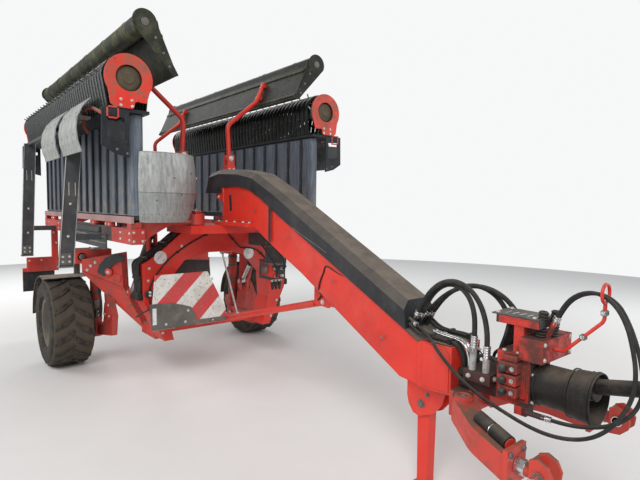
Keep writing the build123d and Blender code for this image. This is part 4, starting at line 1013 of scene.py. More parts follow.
def make_hinges():
    """Pins with washers at the hoods' hinges, and the lugs and zinc bosses on the posts below them."""
    pins, lugs = made = shapes(2)
    for x in (-0.86, -3.1):
        for side in (-1, 1):
            pins.turned((x + side * 0.05, 0.29, 2.41), (side, 0, 0),
                ((0.004, 0.028), (0.004, 0.019), (0.014, 0.017)), 20)
        front = x + 0.05
        pins.turned((front, 0.262, 2.055), FORE,
            ((0.01, 0.04), (0.012, 0.036), (0.012, 0.015), (0.026, 0.015)), 28)
        pins.bolt((front, 0.322, 2.19), FORE, 0.011)
        for z, reach in ((2.15, 0.11), (1.985, 0.098)):
            outline = [(front - 0.016, 0.24, z + 0.03), (front - 0.016, 0.24 - reach, z + 0.022),
                (front - 0.016, 0.232 - reach, z - 0.01), (front - 0.016, 0.24, z - 0.034)]
            lugs.prism(outline, (0.016, 0, 0), 0.003)
            pins.stepped((front, 0.262 - reach, z + 0.004), FORE, ((0.004, 0.013),), 14)
        lugs.box((front, 0.236, 1.9), (front + 0.01, 0.344, 2.315), 0.003)
        for z in (1.93, 2.285):
            pins.bolts(front + 0.01, (0.262, 0.318), z, FORE, 0.009)
    put_pairs("head", made, hinge_pins="zinc", hinge_lugs="red")


def make_wheels():
    """The hub cap, wheel nuts, valve and bead flanges on each wheel."""
    hub, nuts, bead = made = shapes(3)
    x, y, z = AXLE
    hub.lathe((x, y + 0.058, z), LEFT, ((0, 0.092), (0.01, 0.092), (0.014, 0.07), (0.052, 0.062),
        (0.06, 0.052), (0.062, 0)), 32)
    for dx, dz in circle(10, 0.15):
        nuts.turned((x + dx, y + 0.026, z + dz), LEFT,
            ((0.004, 0.019), (0.004, 0.014), (0.022, 0.013), (0.022, 0.008), (0.034, 0.008)), 6)
    nuts.tube(smooth_line(((x + 0.205, y + 0.05, z), (x + 0.214, y + 0.085, z),
        (x + 0.205, y + 0.12, z)), 4), 0.005, 8)
    for side in (-1, 1):
        edge = y + side * 0.18
        bead.lathe((x, edge, z), (0, side, 0), ((-0.012, 0.279), (0, 0.2845), (0.005, 0.281), (0.004, 0.262),
            (-0.012, 0.256)), 64, True)
    put_pairs("wheel", made, hub_cap="rim", wheel_nuts="grime", bead_flanges="rim")


# The left wheel arm: its front end in plan, the way along it, the way out of its face and half its width;
# then the pivot's place along it and height, and Y and Z of the boss at its outer end
ARM_TIP = Vector((-1.12, 0.587, 0))
ARM_RUN = Vector((-0.75676, 0.65369, 0))
ARM_OUT = Vector((0.65369, 0.75676, 0))
ARM_HALF = 0.058
ARM_PIVOT = (0.425, 1.105)
ARM_EYE = (1.122, 1.262)


def on_arm(along, height, out=0.0):
    """A point on the wheel arm's front face."""
    return ARM_TIP + ARM_RUN * along + ARM_OUT * (ARM_HALF + out) + Vector((0, 0, height))


def make_arm_trim():
    """The guide plate, the pivot, cover plates, bolts and the rings on the kingpin at each wheel arm."""
    plate, red, zinc, dark = made = shapes(4)
    # The guide plate's edges: distance along the arm and height
    outer = ((0.226, 1.3), (0.344, 1.312), (0.466, 1.265), (0.542, 1.18), (0.566, 1.1))
    inner = ((0.483, 1.058), (0.462, 1.1), (0.407, 1.162), (0.321, 1.225), (0.236, 1.232))
    plate.prism([on_arm(s, z, 0.01) for s, z in outer + inner], ARM_OUT * 0.012, 0.002)
    for s, z in ((0.3, 1.268), (0.5, 1.15)):
        plate.lathe(on_arm(s, z), ARM_OUT, ((0, 0.016), (0.012, 0.016)), 12)
    red.turned(on_arm(*ARM_PIVOT), ARM_OUT, ((0.026, 0.044), (0.03, 0.038)), 28)
    zinc.bolt(on_arm(*ARM_PIVOT, 0.03), ARM_OUT, 0.014)
    red.prism([on_arm(s, z) for s, z in ((0.268, 0.912), (0.745, 1.078), (0.745, 1.1), (0.29, 0.944))],
        ARM_OUT * 0.01, 0.002)
    red.prism([on_arm(s, z) for s, z in ((0.3, 0.99), (0.395, 1.035), (0.372, 1.095), (0.28, 1.07))],
        ARM_OUT * 0.008, 0.002)
    for s, z in ((0.655, 1.165), (0.7, 1.118), (0.6, 1.206)):
        zinc.bolt(on_arm(s, z), ARM_OUT, 0.013)
    for s, z in ((0.345, 0.945), (0.465, 0.988), (0.585, 1.03), (0.69, 1.067), (0.1, 0.64),
            (0.05, 0.54), (0.18, 0.75)):
        dark.bolt(on_arm(s, z, 0.0), ARM_OUT, 0.009)
    red.turned((-1.7, *ARM_EYE), FORE, ((0.008, 0.052), (0.01, 0.046)), 28)
    dark.turned((-1.69, *ARM_EYE), FORE, ((0.026, 0.034), (0.03, 0.028)), 24)
    for y in (0.86, 0.98):
        zinc.bolts((-1.8, -1.93), y, 1.34, UP, 0.014)
    for z in (0.52, 0.64, 0.8, 1.0, 1.12):
        dark.lathe((-1.9, 0.93, z), UP, ((0, 0.0595), (0.004, 0.066), (0.03, 0.066), (0.034, 0.0595)), 28)
    put_pairs("chassis", made, guide_plate="dark", arm_plates="arm", arm_bolts="zinc", kingpin_rings="grime")


# X of the motor inside each wheel, and X and Z of the pin low on each link
STEER_X = -1.905
LINK_X, LINK_Z = -1.85, 0.345


def make_knuckle():
    """The steering knuckle's motor, its ports and link plates inside each wheel, on the kingpin."""
    body, ports, pipe, link = made = shapes(4)
    body.lathe((STEER_X, 0.99, AXLE[2]), LEFT, ((0, 0.12), (0.012, 0.12), (0.014, 0.1), (0.05, 0.096),
        (0.058, 0.088)), 32)
    for dx, dz in circle(8, 0.106, 22.5):
        ports.bolt((STEER_X + dx, 0.99, AXLE[2] + dz), RIGHT, 0.009)
    body.lathe((-1.7, 0.936, 0.69), LEFT, ((0, 0.052), (0.006, 0.058), (0.07, 0.058), (0.078, 0.05)), 24)
    body.box((-1.76, 0.934, 0.56), (-1.64, 0.996, 0.64), 0.006)
    for dz in (0.0, 0.05):
        ports.stepped((-1.64, 0.965, 0.575 + dz), FORE, ((0.014, 0.013), (0.034, 0.009)), 6)
    pipe.bent(((-1.61, 0.965, 0.625), (-1.56, 0.968, 0.66), (-1.535, 0.975, 0.76), (-1.56, 0.985, 0.9),
        (-1.64, 0.99, 1.05), (-1.72, 0.985, 1.186)), 0.011, 10)
    pipe.bent(((-1.61, 0.965, 0.575), (-1.53, 0.97, 0.62), (-1.495, 0.978, 0.76), (-1.525, 0.99, 0.91),
        (-1.61, 1.0, 1.06), (-1.695, 0.996, 1.19)), 0.011, 10)
    link.prism([(x, 0.933, z) for x, z in ((-1.385, 0.8), (-1.3, 0.7), (-1.285, 0.6), (-1.4, 0.54),
        (-1.56, 0.6), (-1.52, 0.74))], (0, 0.008, 0), 0.002)
    for x, z in ((-1.36, 0.74), (-1.34, 0.62), (-1.49, 0.62)):
        ports.bolt((x, 0.941, z), LEFT, 0.01)
    link.turned((LINK_X, 0.866, LINK_Z), RIGHT, ((0.006, 0.04), (0.008, 0.034)), 24)
    ports.bolt((LINK_X, 0.858, LINK_Z), RIGHT, 0.016)
    put_pairs("chassis", made, knuckle_motor="grime", knuckle_ports="zinc", knuckle_pipes="hose",
        link_plates="arm")


# The pins of the left lift cylinder
LIFT_TOP = Vector((-0.715, 0.69, 1.545))
LIFT_FOOT = Vector((-1.272, 0.715, 0.88))


def make_lifts():
    """Gland nuts, end caps, ports and pipes on the lift cylinders, and the collars at their pins."""
    black, bright, pipe = made = shapes(3)
    top, foot = LIFT_TOP, LIFT_FOOT
    run = (foot - top).normalized()
    black.lathe(top + run * 0.112, run, ((0, 0.04), (0.006, 0.052), (0.03, 0.052), (0.032, 0.046)), 32)
    black.lathe(top + run * 0.505, run, ((0, 0.046), (0.002, 0.053), (0.034, 0.053), (0.042, 0.04),
        (0.046, 0.026)), 32)
    for along in (0.15, 0.48):
        bright.stepped(top + run * along + Vector((0.03, 0, 0.026)), (1, 0, 0.4),
            ((0.022, 0.015), (0.036, 0.011)), 6)
    start = top + run * 0.16 + Vector((0.055, 0.012, 0.036))
    end = top + run * 0.488 + Vector((0.056, 0.012, 0.036))
    rise = Vector((0.01, 0, 0.008))
    pipe.bent((start, start + run * 0.1 + rise, end - run * 0.1 + rise, end), 0.006, 8)
    for point in (top, foot):
        for side in (-1, 1):
            bright.stepped(point + Vector((0, side * 0.046, 0)), (0, side, 0),
                ((0.003, 0.024), (0.01, 0.015)), 18)
    put_pairs("chassis", made, lift_caps="black", lift_ports="zinc", lift_pipes="hose")


# X of the arch's front face
ARCH_FACE = -0.52


def on_arch(points, out):
    """Points given by Y and Z, out from the arch's front face."""
    return [(ARCH_FACE + out, y, z) for y, z in points]


def make_arch_trim():
    """Bare round discs, bolts, clipped cables and the twin couplings on the arch's front face."""
    discs, bolts, cable, clips, coupling = made = shapes(5)
    for y, z in ((-0.676, 1.333), (0.35, 1.326)):
        discs.turned((ARCH_FACE, y, z), FORE, ((0.004, 0.066), (0.008, 0.06)), 36)
        bolts.bolt((ARCH_FACE + 0.008, y, z), FORE, 0.007)
    for y, z in ((0.79, 1.229), (0.8, 1.107), (0.66, 0.56), (0.74, 0.74), (0.45, 1.44),
            (0.25, 1.575), (0.8, 0.98)):
        bolts.bolts(ARCH_FACE, (-y, y), z, FORE, 0.011)
    main = on_arch(((0.05, 1.6), (-0.1, 1.58), (-0.257, 1.515), (-0.42, 1.43), (-0.577, 1.322),
        (-0.69, 1.205), (-0.775, 1.075), (-0.8, 0.95), (-0.79, 0.84)), 0.008)
    main += [(ARCH_FACE - 0.02, -0.87, 0.78), (-0.6, -0.9, 0.74)]
    cable.bent(main, 0.0075, 10)
    cable.bent(on_arch(((0.06, 1.585), (0.14, 1.5), (0.239, 1.4), (0.33, 1.39), (0.45, 1.36), (0.56, 1.27),
        (0.64, 1.12), (0.665, 0.98)), 0.008), 0.0075, 10)
    for y, z in ((-0.18, 1.55), (-0.5, 1.378), (-0.735, 1.14), (0.14, 1.5), (0.51, 1.318), (0.655, 1.05)):
        clips.box((ARCH_FACE, y - 0.016, z - 0.012), (ARCH_FACE + 0.019, y + 0.016, z + 0.012), 0.003)
    coupling.box((ARCH_FACE, -0.842, 0.95), (ARCH_FACE + 0.03, -0.762, 1.01), 0.005)
    for z in (0.966, 0.996):
        discs.turned((ARCH_FACE + 0.03, -0.8, z), FORE, ((0.02, 0.011), (0.022, 0.006)), 12)
    put_all("chassis", made, arch_discs="lens_white", arch_bolts="zinc", arch_cables="hose",
        arch_clips="guard", arch_coupling="black")


# The bundle on each shoulder of the arch, with Y and Z of its route on the left
ARCH_HOSES = 6
ARCH_HOSE_RADIUS = 0.0125
ARCH_HOSE_PITCH = 0.029
ARCH_HOSE_ROUTE = ((0.44, 1.6), (0.5, 1.552), (0.58, 1.487), (0.712, 1.388), (0.79, 1.336), (0.872, 1.284),
    (0.886, 1.2), (0.872, 1.08), (0.87, 0.96))


def make_arch_hoses():
    """A strapped bundle of rigid hose runs that lies on the arch's shoulder and runs down its outer side."""
    bundle, straps, block = made = shapes(3)
    first = ARCH_FACE - 0.03
    last = first - ARCH_HOSE_PITCH * (ARCH_HOSES - 1)
    for i in range(ARCH_HOSES):
        run = []
        for k, (y, z) in enumerate(ARCH_HOSE_ROUTE):
            sway = 0.004 * (1 + sin(2.3 * i + 1.7 * k))
            run.append((first - ARCH_HOSE_PITCH * i - sway * 0.5, y + sway, z + sway * 0.5))
        bundle.bent(run, ARCH_HOSE_RADIUS, 10)
    # Each strap: Y and Z of its middle and the way that the bundle runs there
    for y, z, along_y, along_z in ((0.6, 1.452, 0.774, -0.633), (0.8, 1.308, 0.848, -0.53)):
        low = Vector((last - 0.02, y, z))
        run = Vector((0, along_y, along_z)) * 0.012
        out = Vector((0, -along_z, along_y)) * 0.036
        straps.prism([low - run, low + run, low + run + out, low - run + out],
            (first - last + 0.04, 0, 0), 0.002)
    straps.box((last - 0.02, 0.852, 1.12), (first + 0.018, 0.896, 1.144), 0.003)
    block.box((last - 0.026, 0.848, 0.915), (first + 0.02, 0.905, 0.985), 0.006)
    put_pairs("chassis", made, arch_hose_bundle="hose", arch_hose_straps="guard", arch_hose_block="guard")


# X and Y of the left swing pin, and Z of its top
SWING_PIN = (-0.25, 0.42)
PIN_TOP = 1.804


def make_swing_trim():
    """Washers and bolts on the swing pins, and bolts and weld strips at the gooseneck's foot."""
    bolts, plates = made = shapes(2)
    for y in (-SWING_PIN[1], SWING_PIN[1]):
        bolts.lathe((SWING_PIN[0], y, PIN_TOP), UP,
            ((0, 0.03), (0.008, 0.03), (0.01, 0.012), (0.022, 0.009), (0.024, 0)), 24)
        for dx, dy in circle(4, 0.044, 45):
            bolts.bolt((SWING_PIN[0] + dx, y + dy, PIN_TOP), UP, 0.006, washer=False)
    for side in (-1, 1):
        bolts.bolts((-0.26, -0.1, 0.06, 0.22, 0.33), side * 0.16, 1.702, UP, 0.013)
        bolts.bolts((-0.66, -0.48, -0.3), side * 0.47, 1.664, UP, 0.011)
        plates.box((-0.23, side * 0.131 - 0.004, 1.702), (0.33, side * 0.131 + 0.004, 1.726), 0.002)
    put_all("chassis", made, foot_bolts="zinc", foot_welds="red")


def make_foot_trim():
    """The slots, edge strips, ears and their pins on the gooseneck's foot."""
    slot, ears, pins = made = shapes(3)
    for side in (-1, 1):
        y = side * 0.13
        slot.prism([(-0.105, y, 1.965), (-0.06, y, 1.975), (-0.045, y, 1.815), (-0.09, y, 1.805)],
            (0, side * 0.0012, 0))
        ears.box((-0.236, y - 0.006 * (side > 0) - 0.002, 1.72), (-0.205, y + 0.01, 2.04), 0.003)
        for z, reach in ((2.03, 0.11), (1.95, 0.135)):
            outline = ((-0.215, -0.045), (-0.215, 0.045), (-0.235 - reach * 0.6, 0.032), (-0.235 - reach, 0),
                (-0.235 - reach * 0.7, -0.028))
            inner = y - side * 0.006
            ears.prism([(x, inner, z + dz) for x, dz in outline], (0, side * 0.014, 0), 0.003)
            pins.stepped((-0.225 - reach * 0.62, y + side * 0.008, z + 0.001), (0, side, 0),
                ((0.003, 0.017), (0.01, 0.01)), 16)
    put_all("chassis", made, foot_slots="black", foot_ears="red", foot_ear_pins="zinc")


def make_board_trim():
    """The warning board's flap, lamp strip, bottom strip and bolts, and the sheet and rod behind it."""
    flap, strip, bolts, sheet, rod = made = shapes(5)
    # Y and Z round the flap
    outline = ((-0.836, 0.649), (-0.848, 0.7), (-0.862, 0.905), (-0.756, 0.902), (-0.644, 0.894),
        (-0.535, 0.868), (-0.434, 0.833), (-0.38, 0.733), (-0.388, 0.652))
    flap.slab(-0.338, 0.006, outline, 0.002)
    flap.slab(-0.339, 0.005, ((-0.836, 0.644), (-0.04, 0.644), (-0.04, 0.69), (-0.39, 0.69), (-0.39, 0.664),
        (-0.836, 0.664)), 0.001)
    strip.box((-0.332, -0.834, 0.7), (-0.3295, -0.795, 0.862), 0.001)
    for y, z in ((-0.7, 0.69), (-0.5, 0.69), (-0.47, 0.8), (-0.195, 0.667), (-0.2, 1.1), (-0.6, 1.12)):
        bolts.bolt((-0.332 if y < -0.39 and z < 0.9 else -0.34, y, z), FORE, 0.01)
    sheet.slab(-0.742, 0.006, ((-0.015, 1.07), (-0.03, 1.25), (-0.33, 1.275), (-0.54, 1.18), (-0.558, 1.08)))
    high, low = Vector((-0.6, 0.058, 1.34)), Vector((-0.655, 0.284, 0.612))
    rod.rod(high, low, 0.011, 12)
    for place in (high, low):
        rod.lathe(place - Vector((0.018, 0, 0)), FORE, ((0, 0.021), (0.036, 0.021)), 14)
    put_all("chassis", made, board_flap="flap", board_lamp_strip="lens_white", board_bolts="zinc",
        arch_sheet="dark", arch_rod="bright")


# Half widths of the beam's cover and of the bracket that holds the strut
COVER_SIDE = 0.148
STRUT_SIDE = 0.036


def make_beam_trim():
    """The cover's seam strap, lip and screws, the cable along the beam and the strut's bolts."""
    strap, lip, screws, cable, bolts, seam = made = shapes(6)
    for side in (-1, 1):
        y = side * COVER_SIDE
        strap.prism([(0.634, y, 1.556), (0.634, y, 1.862), (0.666, y, 1.846), (0.666, y, 1.54)],
            (0, side * 0.004, 0), 0.001)
        ridge = [(x, y - side * 0.002, z) for x, z in ((0.983, 1.683), (1.2, 1.6), (1.43, 1.511))]
        lip.bent(ridge, 0.004, 8)
        for x, z in ((0.4, 1.82), (0.92, 1.6), (1.5, 1.3), (2.02, 0.98)):
            screws.lathe((x, y, z), (0, side, 0), ((0, 0.011), (0.003, 0.01), (0.005, 0)), 12)
        for x, z, size in ((1.26, 1.09, 0.016), (1.34, 1.14, 0.01), (1.195, 1.21, 0.01)):
            bolts.bolt((x, side * STRUT_SIDE, z), (0, side, 0), size)
    route = ((1.72, -0.12, 1.33), (1.56, -0.126, 1.36), (1.416, -0.132, 1.405), (1.38, -0.134, 1.35),
        (1.347, -0.135, 1.29), (1.325, -0.134, 1.222), (1.3, -0.1, 1.18), (1.262, -0.055, 1.15),
        (1.205, -0.042, 1.1))
    cable.bent(route, 0.0065, 8)
    for x in (2.353, 2.378):
        seam.box((x, -0.1515, 0.744), (x + 0.004, 0.1515, 1.036), 0.0005)
    put_all("chassis", made, cover_strap="cover", cover_lip="flap", cover_screws="grime", beam_cable="hose",
        strut_bolts="zinc", head_seams="red")


# X and Y of the motor's upright axis
MOTOR = (0.04, 0.33)


def make_motor_trim():
    """Flanges, a cap, ports, pipes and a bracket on the motor below the beam."""
    bracket, iron, ports, pipes, marks = made = shapes(5)
    x, y = MOTOR
    for z in (1.256, 1.44):
        iron.lathe((x, y, z), UP, ((0, 0.105), (0.002, 0.109), (0.018, 0.109), (0.02, 0.105)), 32)
    for dx, dy in circle(6, 0.084):
        ports.bolt((x + dx, y + dy, 1.47), UP, 0.009)
    for dz in (1.14, 1.215, 1.272):
        for dy in (0.285, 0.37):
            ports.stepped((0.09, dy, dz), FORE, ((0.012, 0.016), (0.03, 0.011), (0.04, 0.014)), 6)
    pipes.bent(((0.126, 0.285, 1.14), (0.15, 0.28, 1.15), (0.156, 0.262, 1.24), (0.13, 0.2, 1.36),
        (0.06, 0.15, 1.47)), 0.01, 10)
    pipes.bent(((0.126, 0.37, 1.215), (0.158, 0.372, 1.23), (0.166, 0.33, 1.35), (0.14, 0.24, 1.45),
        (0.08, 0.152, 1.54)), 0.01, 10)
    marks.turned((x, y, 1.4695), UP, ((0.01, 0.03), (0.012, 0.024)), 24)
    for k in range(4):
        drop = 0.028 * k
        pipes.bent(((-0.56, 0.452 - drop, 1.596), (-0.48, 0.462 - drop, 1.545),
            (-0.33, 0.452 - drop, 1.48 + 0.3 * drop), (-0.18, 0.42 - drop, 1.43 + 0.5 * drop),
            (-0.055, 0.372 - drop, 1.392 + 0.5 * drop)), 0.0125, 10)
    for dy in (0.285, 0.33, 0.375):
        ports.stepped((0.055, dy, 1.104), DOWN, ((0.014, 0.017), (0.034, 0.012)), 6)
        pipes.bent(((0.055, dy, 1.075), (0.05, dy + 0.004, 1.03), (-0.01, dy + 0.05, 0.985),
            (-0.16, dy + 0.16, 0.975), (-0.34, dy + 0.29, 1.01),
            (-0.52, 0.7 + 0.4 * (dy - 0.285), 1.06)), 0.0125, 10)
    bracket.box((-0.06, 0.23, 1.135), (0.098, 0.242, 1.275), 0.003)
    bracket.slab(0.09, 0.012, ((0.24, 1.13), (0.33, 1.105), (0.345, 1.15), (0.262, 1.2), (0.262, 1.27),
        (0.24, 1.275)), 0.002)
    iron.turned((0.012, 0.23, 1.205), RIGHT, ((0.01, 0.048), (0.014, 0.04), (0.03, 0.034),
        (0.034, 0.026)), 24)
    put_all("chassis", made, motor_bracket="casing", motor_flanges="grime", motor_ports="zinc",
        motor_pipes="hose", motor_cap="red")


# Half width over the plates that hold the stand
STAND_SIDE = 0.062


def make_stand_trim():
    """The stand's pivot bolt with its washers, and a locking pin."""
    bolts = Shape()
    for side in (-1, 1):
        bolts.stepped((2.3, side * STAND_SIDE, 0.59), (0, side, 0), ((0.004, 0.03), (0.016, 0.02)), 6)
        bolts.stepped((2.345, side * STAND_SIDE, 0.662), (0, side, 0), ((0.004, 0.016), (0.012, 0.01)), 16)
    bolts.put("stand_bolts", "chassis", "grime")


def hose_end(name, last):
    """A hose's end point and the way that it runs there, outwards."""
    route = HOSES[name][2]
    tip, before = (route[-1], route[-2]) if last else (route[0], route[1])
    return Vector(tip), (Vector(tip) - Vector(before)).normalized()


def make_fittings():
    """Ferrules and hexagon nuts at both ends of each hose, and rigid pipes on the head block."""
    ferrule, pipes = made = shapes(2)
    for name, (radius, _, _) in HOSES.items():
        for last in (False, True):
            tip, run = hose_end(name, last)
            grow = radius + 0.004
            count = 5 if last and radius == THICK_HOSE else 2
            long = 0.015 * count
            rows = ripples(count, 0.015, grow, 0.002, (0, 0.002, 0.009, 0.011))
            ferrule.lathe(tip - run * long, run, rows + [(long, grow)], 20)
            ferrule.lathe(tip - run * 0.004, run,
                ((0, radius + 0.006), (0.022, radius + 0.006), (0.024, radius + 0.003)), 6)
    for y in (-0.1, -0.072):
        pipes.bent(((2.38, y + 0.04, 1.09), (2.44, y + 0.035, 1.08), (2.56, y + 0.02, 1.078),
            (2.635, y, 1.062), (2.664, y, 1.0), (2.67, y, 0.942)), 0.009, 12)
    pipes.bent(((2.583, 0.06, 1.0), (2.61, 0.06, 1.008), (2.65, 0.06, 0.996),
        (2.675, 0.06, 0.942)), 0.011, 12)
    put_all("chassis", made, hose_ferrules="bright", head_pipes="bright")


def make_clipped_lines():
    """Rigid lines clipped to the beam's end and the head block, and the dark block that they run into."""
    lines, clips = made = shapes(2)
    # Y of each line and how much higher it starts
    for y, high in ((-0.118, 0.0), (-0.088, 0.004), (0.082, 0.0), (0.112, 0.004)):
        lines.bent(((2.23, y, 1.115 + high), (2.3, y, 1.075 + high), (2.37, y, 1.066), (2.5, y, 1.066),
            (2.575, y * 0.9, 1.055), (2.61, y * 0.7, 0.99), (2.625, y * 0.6, 0.9)), 0.011, 10)
    for x in (2.405, 2.545):
        for low, high in ((-0.134, -0.072), (0.066, 0.128)):
            clips.box((x - 0.012, low, 1.048), (x + 0.012, high, 1.082), 0.003)
    for y in (-0.055, -0.02, 0.02, 0.055):
        lines.bent(((2.855, y, 0.9), (2.838, y, 0.96), (2.832, y, 1.06), (2.862, y, 1.16),
            (2.88, y, 1.238)), 0.01, 10)
    for y in (-0.105, 0.105):
        lines.bent(((2.7, y, 0.945), (2.715, y, 1.0), (2.77, y, 1.035), (2.85, y, 1.02),
            (2.872, y, 0.98)), 0.01, 10)
    clips.box((2.6, -0.11, 0.88), (2.655, 0.11, 0.925), 0.006)
    put_all("chassis", made, clipped_lines="hose", line_clips="guard")


def make_head_trim():
    """The head block's raised cheeks, dusty top plate, bolts and the valve block's plugs."""
    cheeks, top, bolts, plugs = made = shapes(4)
    for side in (-1, 1):
        y = side * 0.15
        cheeks.prism([(2.376, y, 0.76), (2.376, y, 1.024), (2.52, y, 1.03), (2.566, y, 0.985),
            (2.566, y, 0.76)], (0, side * 0.006, 0), 0.002)
    top.box((2.392, -0.138, 1.0405), (2.566, 0.138, 1.048), 0.002)
    bolts.bolts((2.415, 2.543), (-0.115, 0.115), 1.048, UP, 0.01)
    for y in (-0.1, -0.02, 0.07, 0.15):
        plugs.stepped((2.83, y, 0.912), FORE, ((0.006, 0.016), (0.014, 0.01)), 6)
    for y in (-0.15, 0.2):
        for x in (2.7, 2.79):
            plugs.stepped((x, y, 0.91), (0, 1 if y > 0 else -1, 0), ((0.008, 0.015), (0.016, 0.01)), 6)
    put_all("chassis", made, head_cheeks="red", head_top_plate="dusty", head_bolts="grime",
        valve_plugs="zinc")


def make_gearbox_trim():
    """The valve stack on the gearbox's side, its bolts, the slotted plate on top and the sleeves."""
    stack, coils, plugs, plate, bolts, sleeves = made = shapes(6)
    for z, depth in ((0.868, 0.052), (0.932, 0.06), (0.996, 0.052)):
        stack.box((2.895, -0.126 - depth, z), (3.0, -0.124, z + 0.056), 0.004)
    stack.box((2.915, -0.158, 1.052), (2.985, -0.112, 1.086), 0.004)
    for z in (0.895, 0.96, 1.024):
        coils.lathe((2.93, -0.178, z), RIGHT, ((0, 0.019), (0.002, 0.021), (0.03, 0.021), (0.032, 0.017),
            (0.04, 0.012), (0.04, 0)), 18)
        plugs.stepped((2.976, -0.178, z), RIGHT, ((0.01, 0.014), (0.016, 0.009)), 6)
    bolts.bolts(3.0405, (-0.085, 0.085), (0.84, 0.905, 0.99, 1.065), FORE, 0.0095)
    bolts.bolts((2.88, 2.96), (-0.09, 0.09), 1.09, UP, 0.01)
    plate.box((2.8, -0.1, 1.2825), (3.07, 0.1, 1.29), 0.002)
    plate.box((3.0705, -0.096, 1.244), (3.078, 0.096, 1.286), 0.002)
    for i in range(5):
        plugs.box((2.852 + i * 0.042, -0.06, 1.29), (2.864 + i * 0.042, 0.01, 1.2912), 0)
    for y in (-0.075, 0.075):
        bolts.bolts((3.035, 2.825), y, 1.29, UP, 0.01)
    bolts.bolts(3.11, (-0.11, 0.18), (1.09, 1.17), FORE, 0.009)
    # Each sleeve on top of the gearbox, from its start to its end
    for start, end in (((3.05, -0.04, 1.19), (3.066, -0.04, 1.33)),
            ((3.086, 0.03, 1.19), (3.098, 0.03, 1.33))):
        run = Vector(end) - Vector(start)
        rows = ripples(9, run.length / 9, 0.021, 0.004, (0, 0.004, 0.011, 0.013))
        sleeves.lathe(start, run, rows + [(run.length, 0.019), (run.length, 0.01),
            (run.length - 0.03, 0.01)], 18)
    put_all("chassis", made, valve_stack="casing", valve_coils="black", valve_stack_plugs="bright",
        tee_plate="dark", gearbox_bolts="zinc", box_sleeves="guard")


def make_guard_trim():
    """Bands round the bell, and the ribbed cone round the shaft inside it."""
    bands, ribs = Shape(), Shape()
    for x, radius in ((3.048, 0.1125), (3.216, 0.1245), (3.318, 0.1318)):
        bands.lathe((x, 0, 0.93), FORE, ((0, radius), (0.002, radius + 0.004), (0.01, radius + 0.004),
            (0.012, radius)), 48, True)
    bands.put("guard_bands", "chassis", "guard")
    rows = []
    reach = 0.21
    for i in range(9):
        at = 0.05 + i * reach / 9
        grow = 0.052 + 0.016 * i / 8
        rows += [(at, grow), (at + 0.006, grow + 0.006), (at + 0.012, grow)]
    tilt = radians(12.5)
    ribs.lathe((3.08, 0, 0.94), (cos(tilt), 0, sin(tilt)),
        [(0.05, 0.03)] + rows + [(rows[-1][0], 0.034)], 32, True)
    ribs.put("shaft_cone", "pto", "guard")


# X and Y of the yoke's left boss, and the ends of its left damper
YOKE_BOSS = (2.744, 0.262)
DAMPER = (Vector((2.9, 0.358, 0.792)), Vector((3.12, 0.436, 0.754)))


def make_yoke_trim():
    """Boss rims and recesses, damper sleeves, collars, fork bolts and pin ends on the hitch yoke."""
    rims, dark, sleeves, bright, bolts = made = shapes(5)
    for z, out in ((0.83, 1), (0.78, -1)):
        rims.lathe((*YOKE_BOSS, z), (0, 0, out),
            ((-0.001, 0.046), (0.005, 0.046), (0.007, 0.04), (0.007, 0.03), (0.001, 0.028)), 28, True)
        dark.lathe((*YOKE_BOSS, z), (0, 0, out),
            ((-0.001, 0.0285), (0.002, 0.0285), (0.004, 0.016), (0.009, 0.012), (0.009, 0)), 24)
    start, end = DAMPER
    run = (end - start).normalized()
    long = (end - start).length
    sleeves.lathe(start, run, ((0.004, 0.03), (0.006, 0.036), (long * 0.46, 0.036), (long * 0.47, 0.031),
        (long * 0.5, 0.031), (long * 0.51, 0.037), (long - 0.006, 0.037), (long - 0.004, 0.03)), 28)
    bright.lathe(start, run, ((long * 0.465, 0.0315), (long * 0.47, 0.0335), (long * 0.5, 0.0335),
        (long * 0.505, 0.0315)), 28)
    bright.lathe((3.1645, 0.455, 0.683), FORE, ((0, 0.034), (0.002, 0.039), (0.05, 0.039),
        (0.052, 0.034)), 28)
    for z in (0.622, 0.742):
        bolts.bolts(3.164, (0.395, 0.512), z, FORE, 0.012)
    for y in (0.4215, 0.4885):
        side = 1 if y > 0.455 else -1
        bolts.lathe((3.29, 0.455, 0.693), (0, side, 0),
            ((0.052, 0.021), (0.054, 0.024), (0.062, 0.024), (0.062, 0.012), (0.07, 0.012), (0.07, 0)), 20)
    put_pairs("chassis", made, yoke_rims="yoke", yoke_recess="grime", damper_sleeves="guard",
        yoke_collars="bright", yoke_bolts="grime")


def make_holder_trim():
    """Clamps and bolts on the hose holder."""
    clamp, bolts = made = shapes(2)
    for x, z in ((3.249, 1.226), (3.342, 1.365)):
        clamp.box((x - 0.014, -0.019, z - 0.014), (x + 0.014, 0.019, z + 0.014), 0.004)
        bolts.bolt((x, -0.019, z), RIGHT, 0.008)
    put_all("chassis", made, holder_clamps="grime", holder_bolts="bright")


for make in (make_bands, make_belt_rivets, make_end_trim, make_head_extras, make_shoes, make_posts,
        make_dish_trim, make_lamps, make_hoods, make_hinges, make_wheels, make_arm_trim, make_knuckle,
        make_lifts, make_arch_trim, make_arch_hoses, make_swing_trim, make_foot_trim, make_board_trim,
        make_beam_trim, make_motor_trim, make_stand_trim, make_fittings, make_clipped_lines, make_head_trim,
        make_gearbox_trim, make_guard_trim, make_yoke_trim, make_holder_trim):
    make()

# Floor and light
FLOOR_RADIUS = 13
# Distances over which the floor is painted paler: painted light
FLOOR_FADE = (3.8, 8.0)


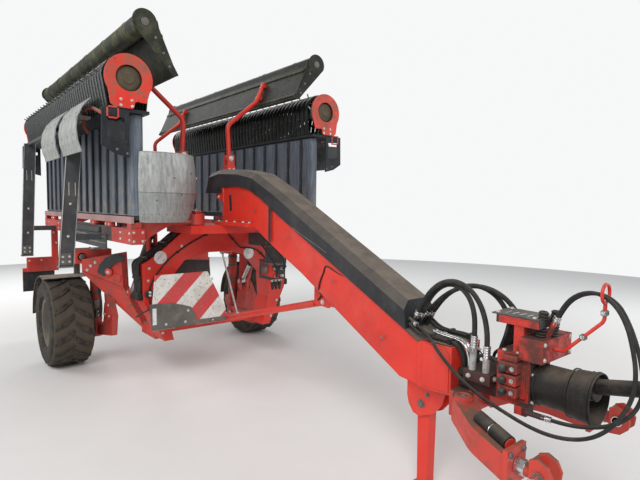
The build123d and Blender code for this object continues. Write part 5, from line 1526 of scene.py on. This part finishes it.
def make_floor():
    """A pale floor, painted paler away from the machine: painted light where the lamps' light falls off, so
    that it fades into the sky.
    """
    bpy.ops.mesh.primitive_circle_add(vertices=128, radius=FLOOR_RADIUS, fill_type="NGON",
        location=(0, 0, 0))
    floor = bpy.context.object
    floor.name = "floor"
    n = Nodes("floor_pale")
    x, y, _ = n.axes()
    away = n.far(x, y)
    body = n.mix(n.noise(3.0), (0.74, 0.73, 0.71), (0.78, 0.77, 0.75))
    # Paler further out: painted light, so that the far floor meets the bright sky
    n.colour(n.mix(n.ramp(away, *FLOOR_FADE), body, (0.96, 0.96, 0.95)))
    n.set("Roughness", 0.9)
    floor.data.materials.append(n.material)


SKY, SKY_POWER = (0.86, 0.88, 0.9, 1), 0.46
SEEN_SKY = (0.93, 0.935, 0.94, 1)
LAMP_AIM = Vector((0, 0, 1.2))
# Each lamp: name, place, size in metres and power
LAMPS = (
    ("key", (6.5, -6.5, 7.5), 5, 680),
    ("side", (-6, -8, 5), 5, 340),
    ("fill", (5, 7, 5), 7, 260),
    ("rear", (-9, 2, 7), 6, 360),
)


def make_light():
    """A soft key on the camera's side, three weaker lamps and an even sky, seen paler than it lights."""
    scene = bpy.context.scene
    scene.view_settings.view_transform = "Standard"
    world = bpy.data.worlds.new("world")
    scene.world = world
    world.use_nodes = True
    tree = world.node_tree
    sky = tree.nodes["Background"]
    sky.inputs["Color"].default_value = SKY
    sky.inputs["Strength"].default_value = SKY_POWER
    seen = tree.nodes.new("ShaderNodeBackground")
    seen.inputs["Color"].default_value = SEEN_SKY
    seen.inputs["Strength"].default_value = 1.0
    rays = tree.nodes.new("ShaderNodeLightPath")
    blend = tree.nodes.new("ShaderNodeMixShader")
    tree.links.new(rays.outputs["Is Camera Ray"], blend.inputs[0])
    tree.links.new(sky.outputs[0], blend.inputs[1])
    tree.links.new(seen.outputs[0], blend.inputs[2])
    tree.links.new(blend.outputs[0], tree.nodes["World Output"].inputs[0])
    for name, place, size, power in LAMPS:
        lamp = bpy.data.lights.new(name, "AREA")
        lamp.size = size
        lamp.energy = power
        holder = bpy.data.objects.new(name, lamp)
        holder.location = place
        holder.rotation_euler = (LAMP_AIM - Vector(place)).to_track_quat("-Z", "Y").to_euler()
        scene.collection.objects.link(holder)


make_floor()
make_light()

bpy.context.view_layer.update()
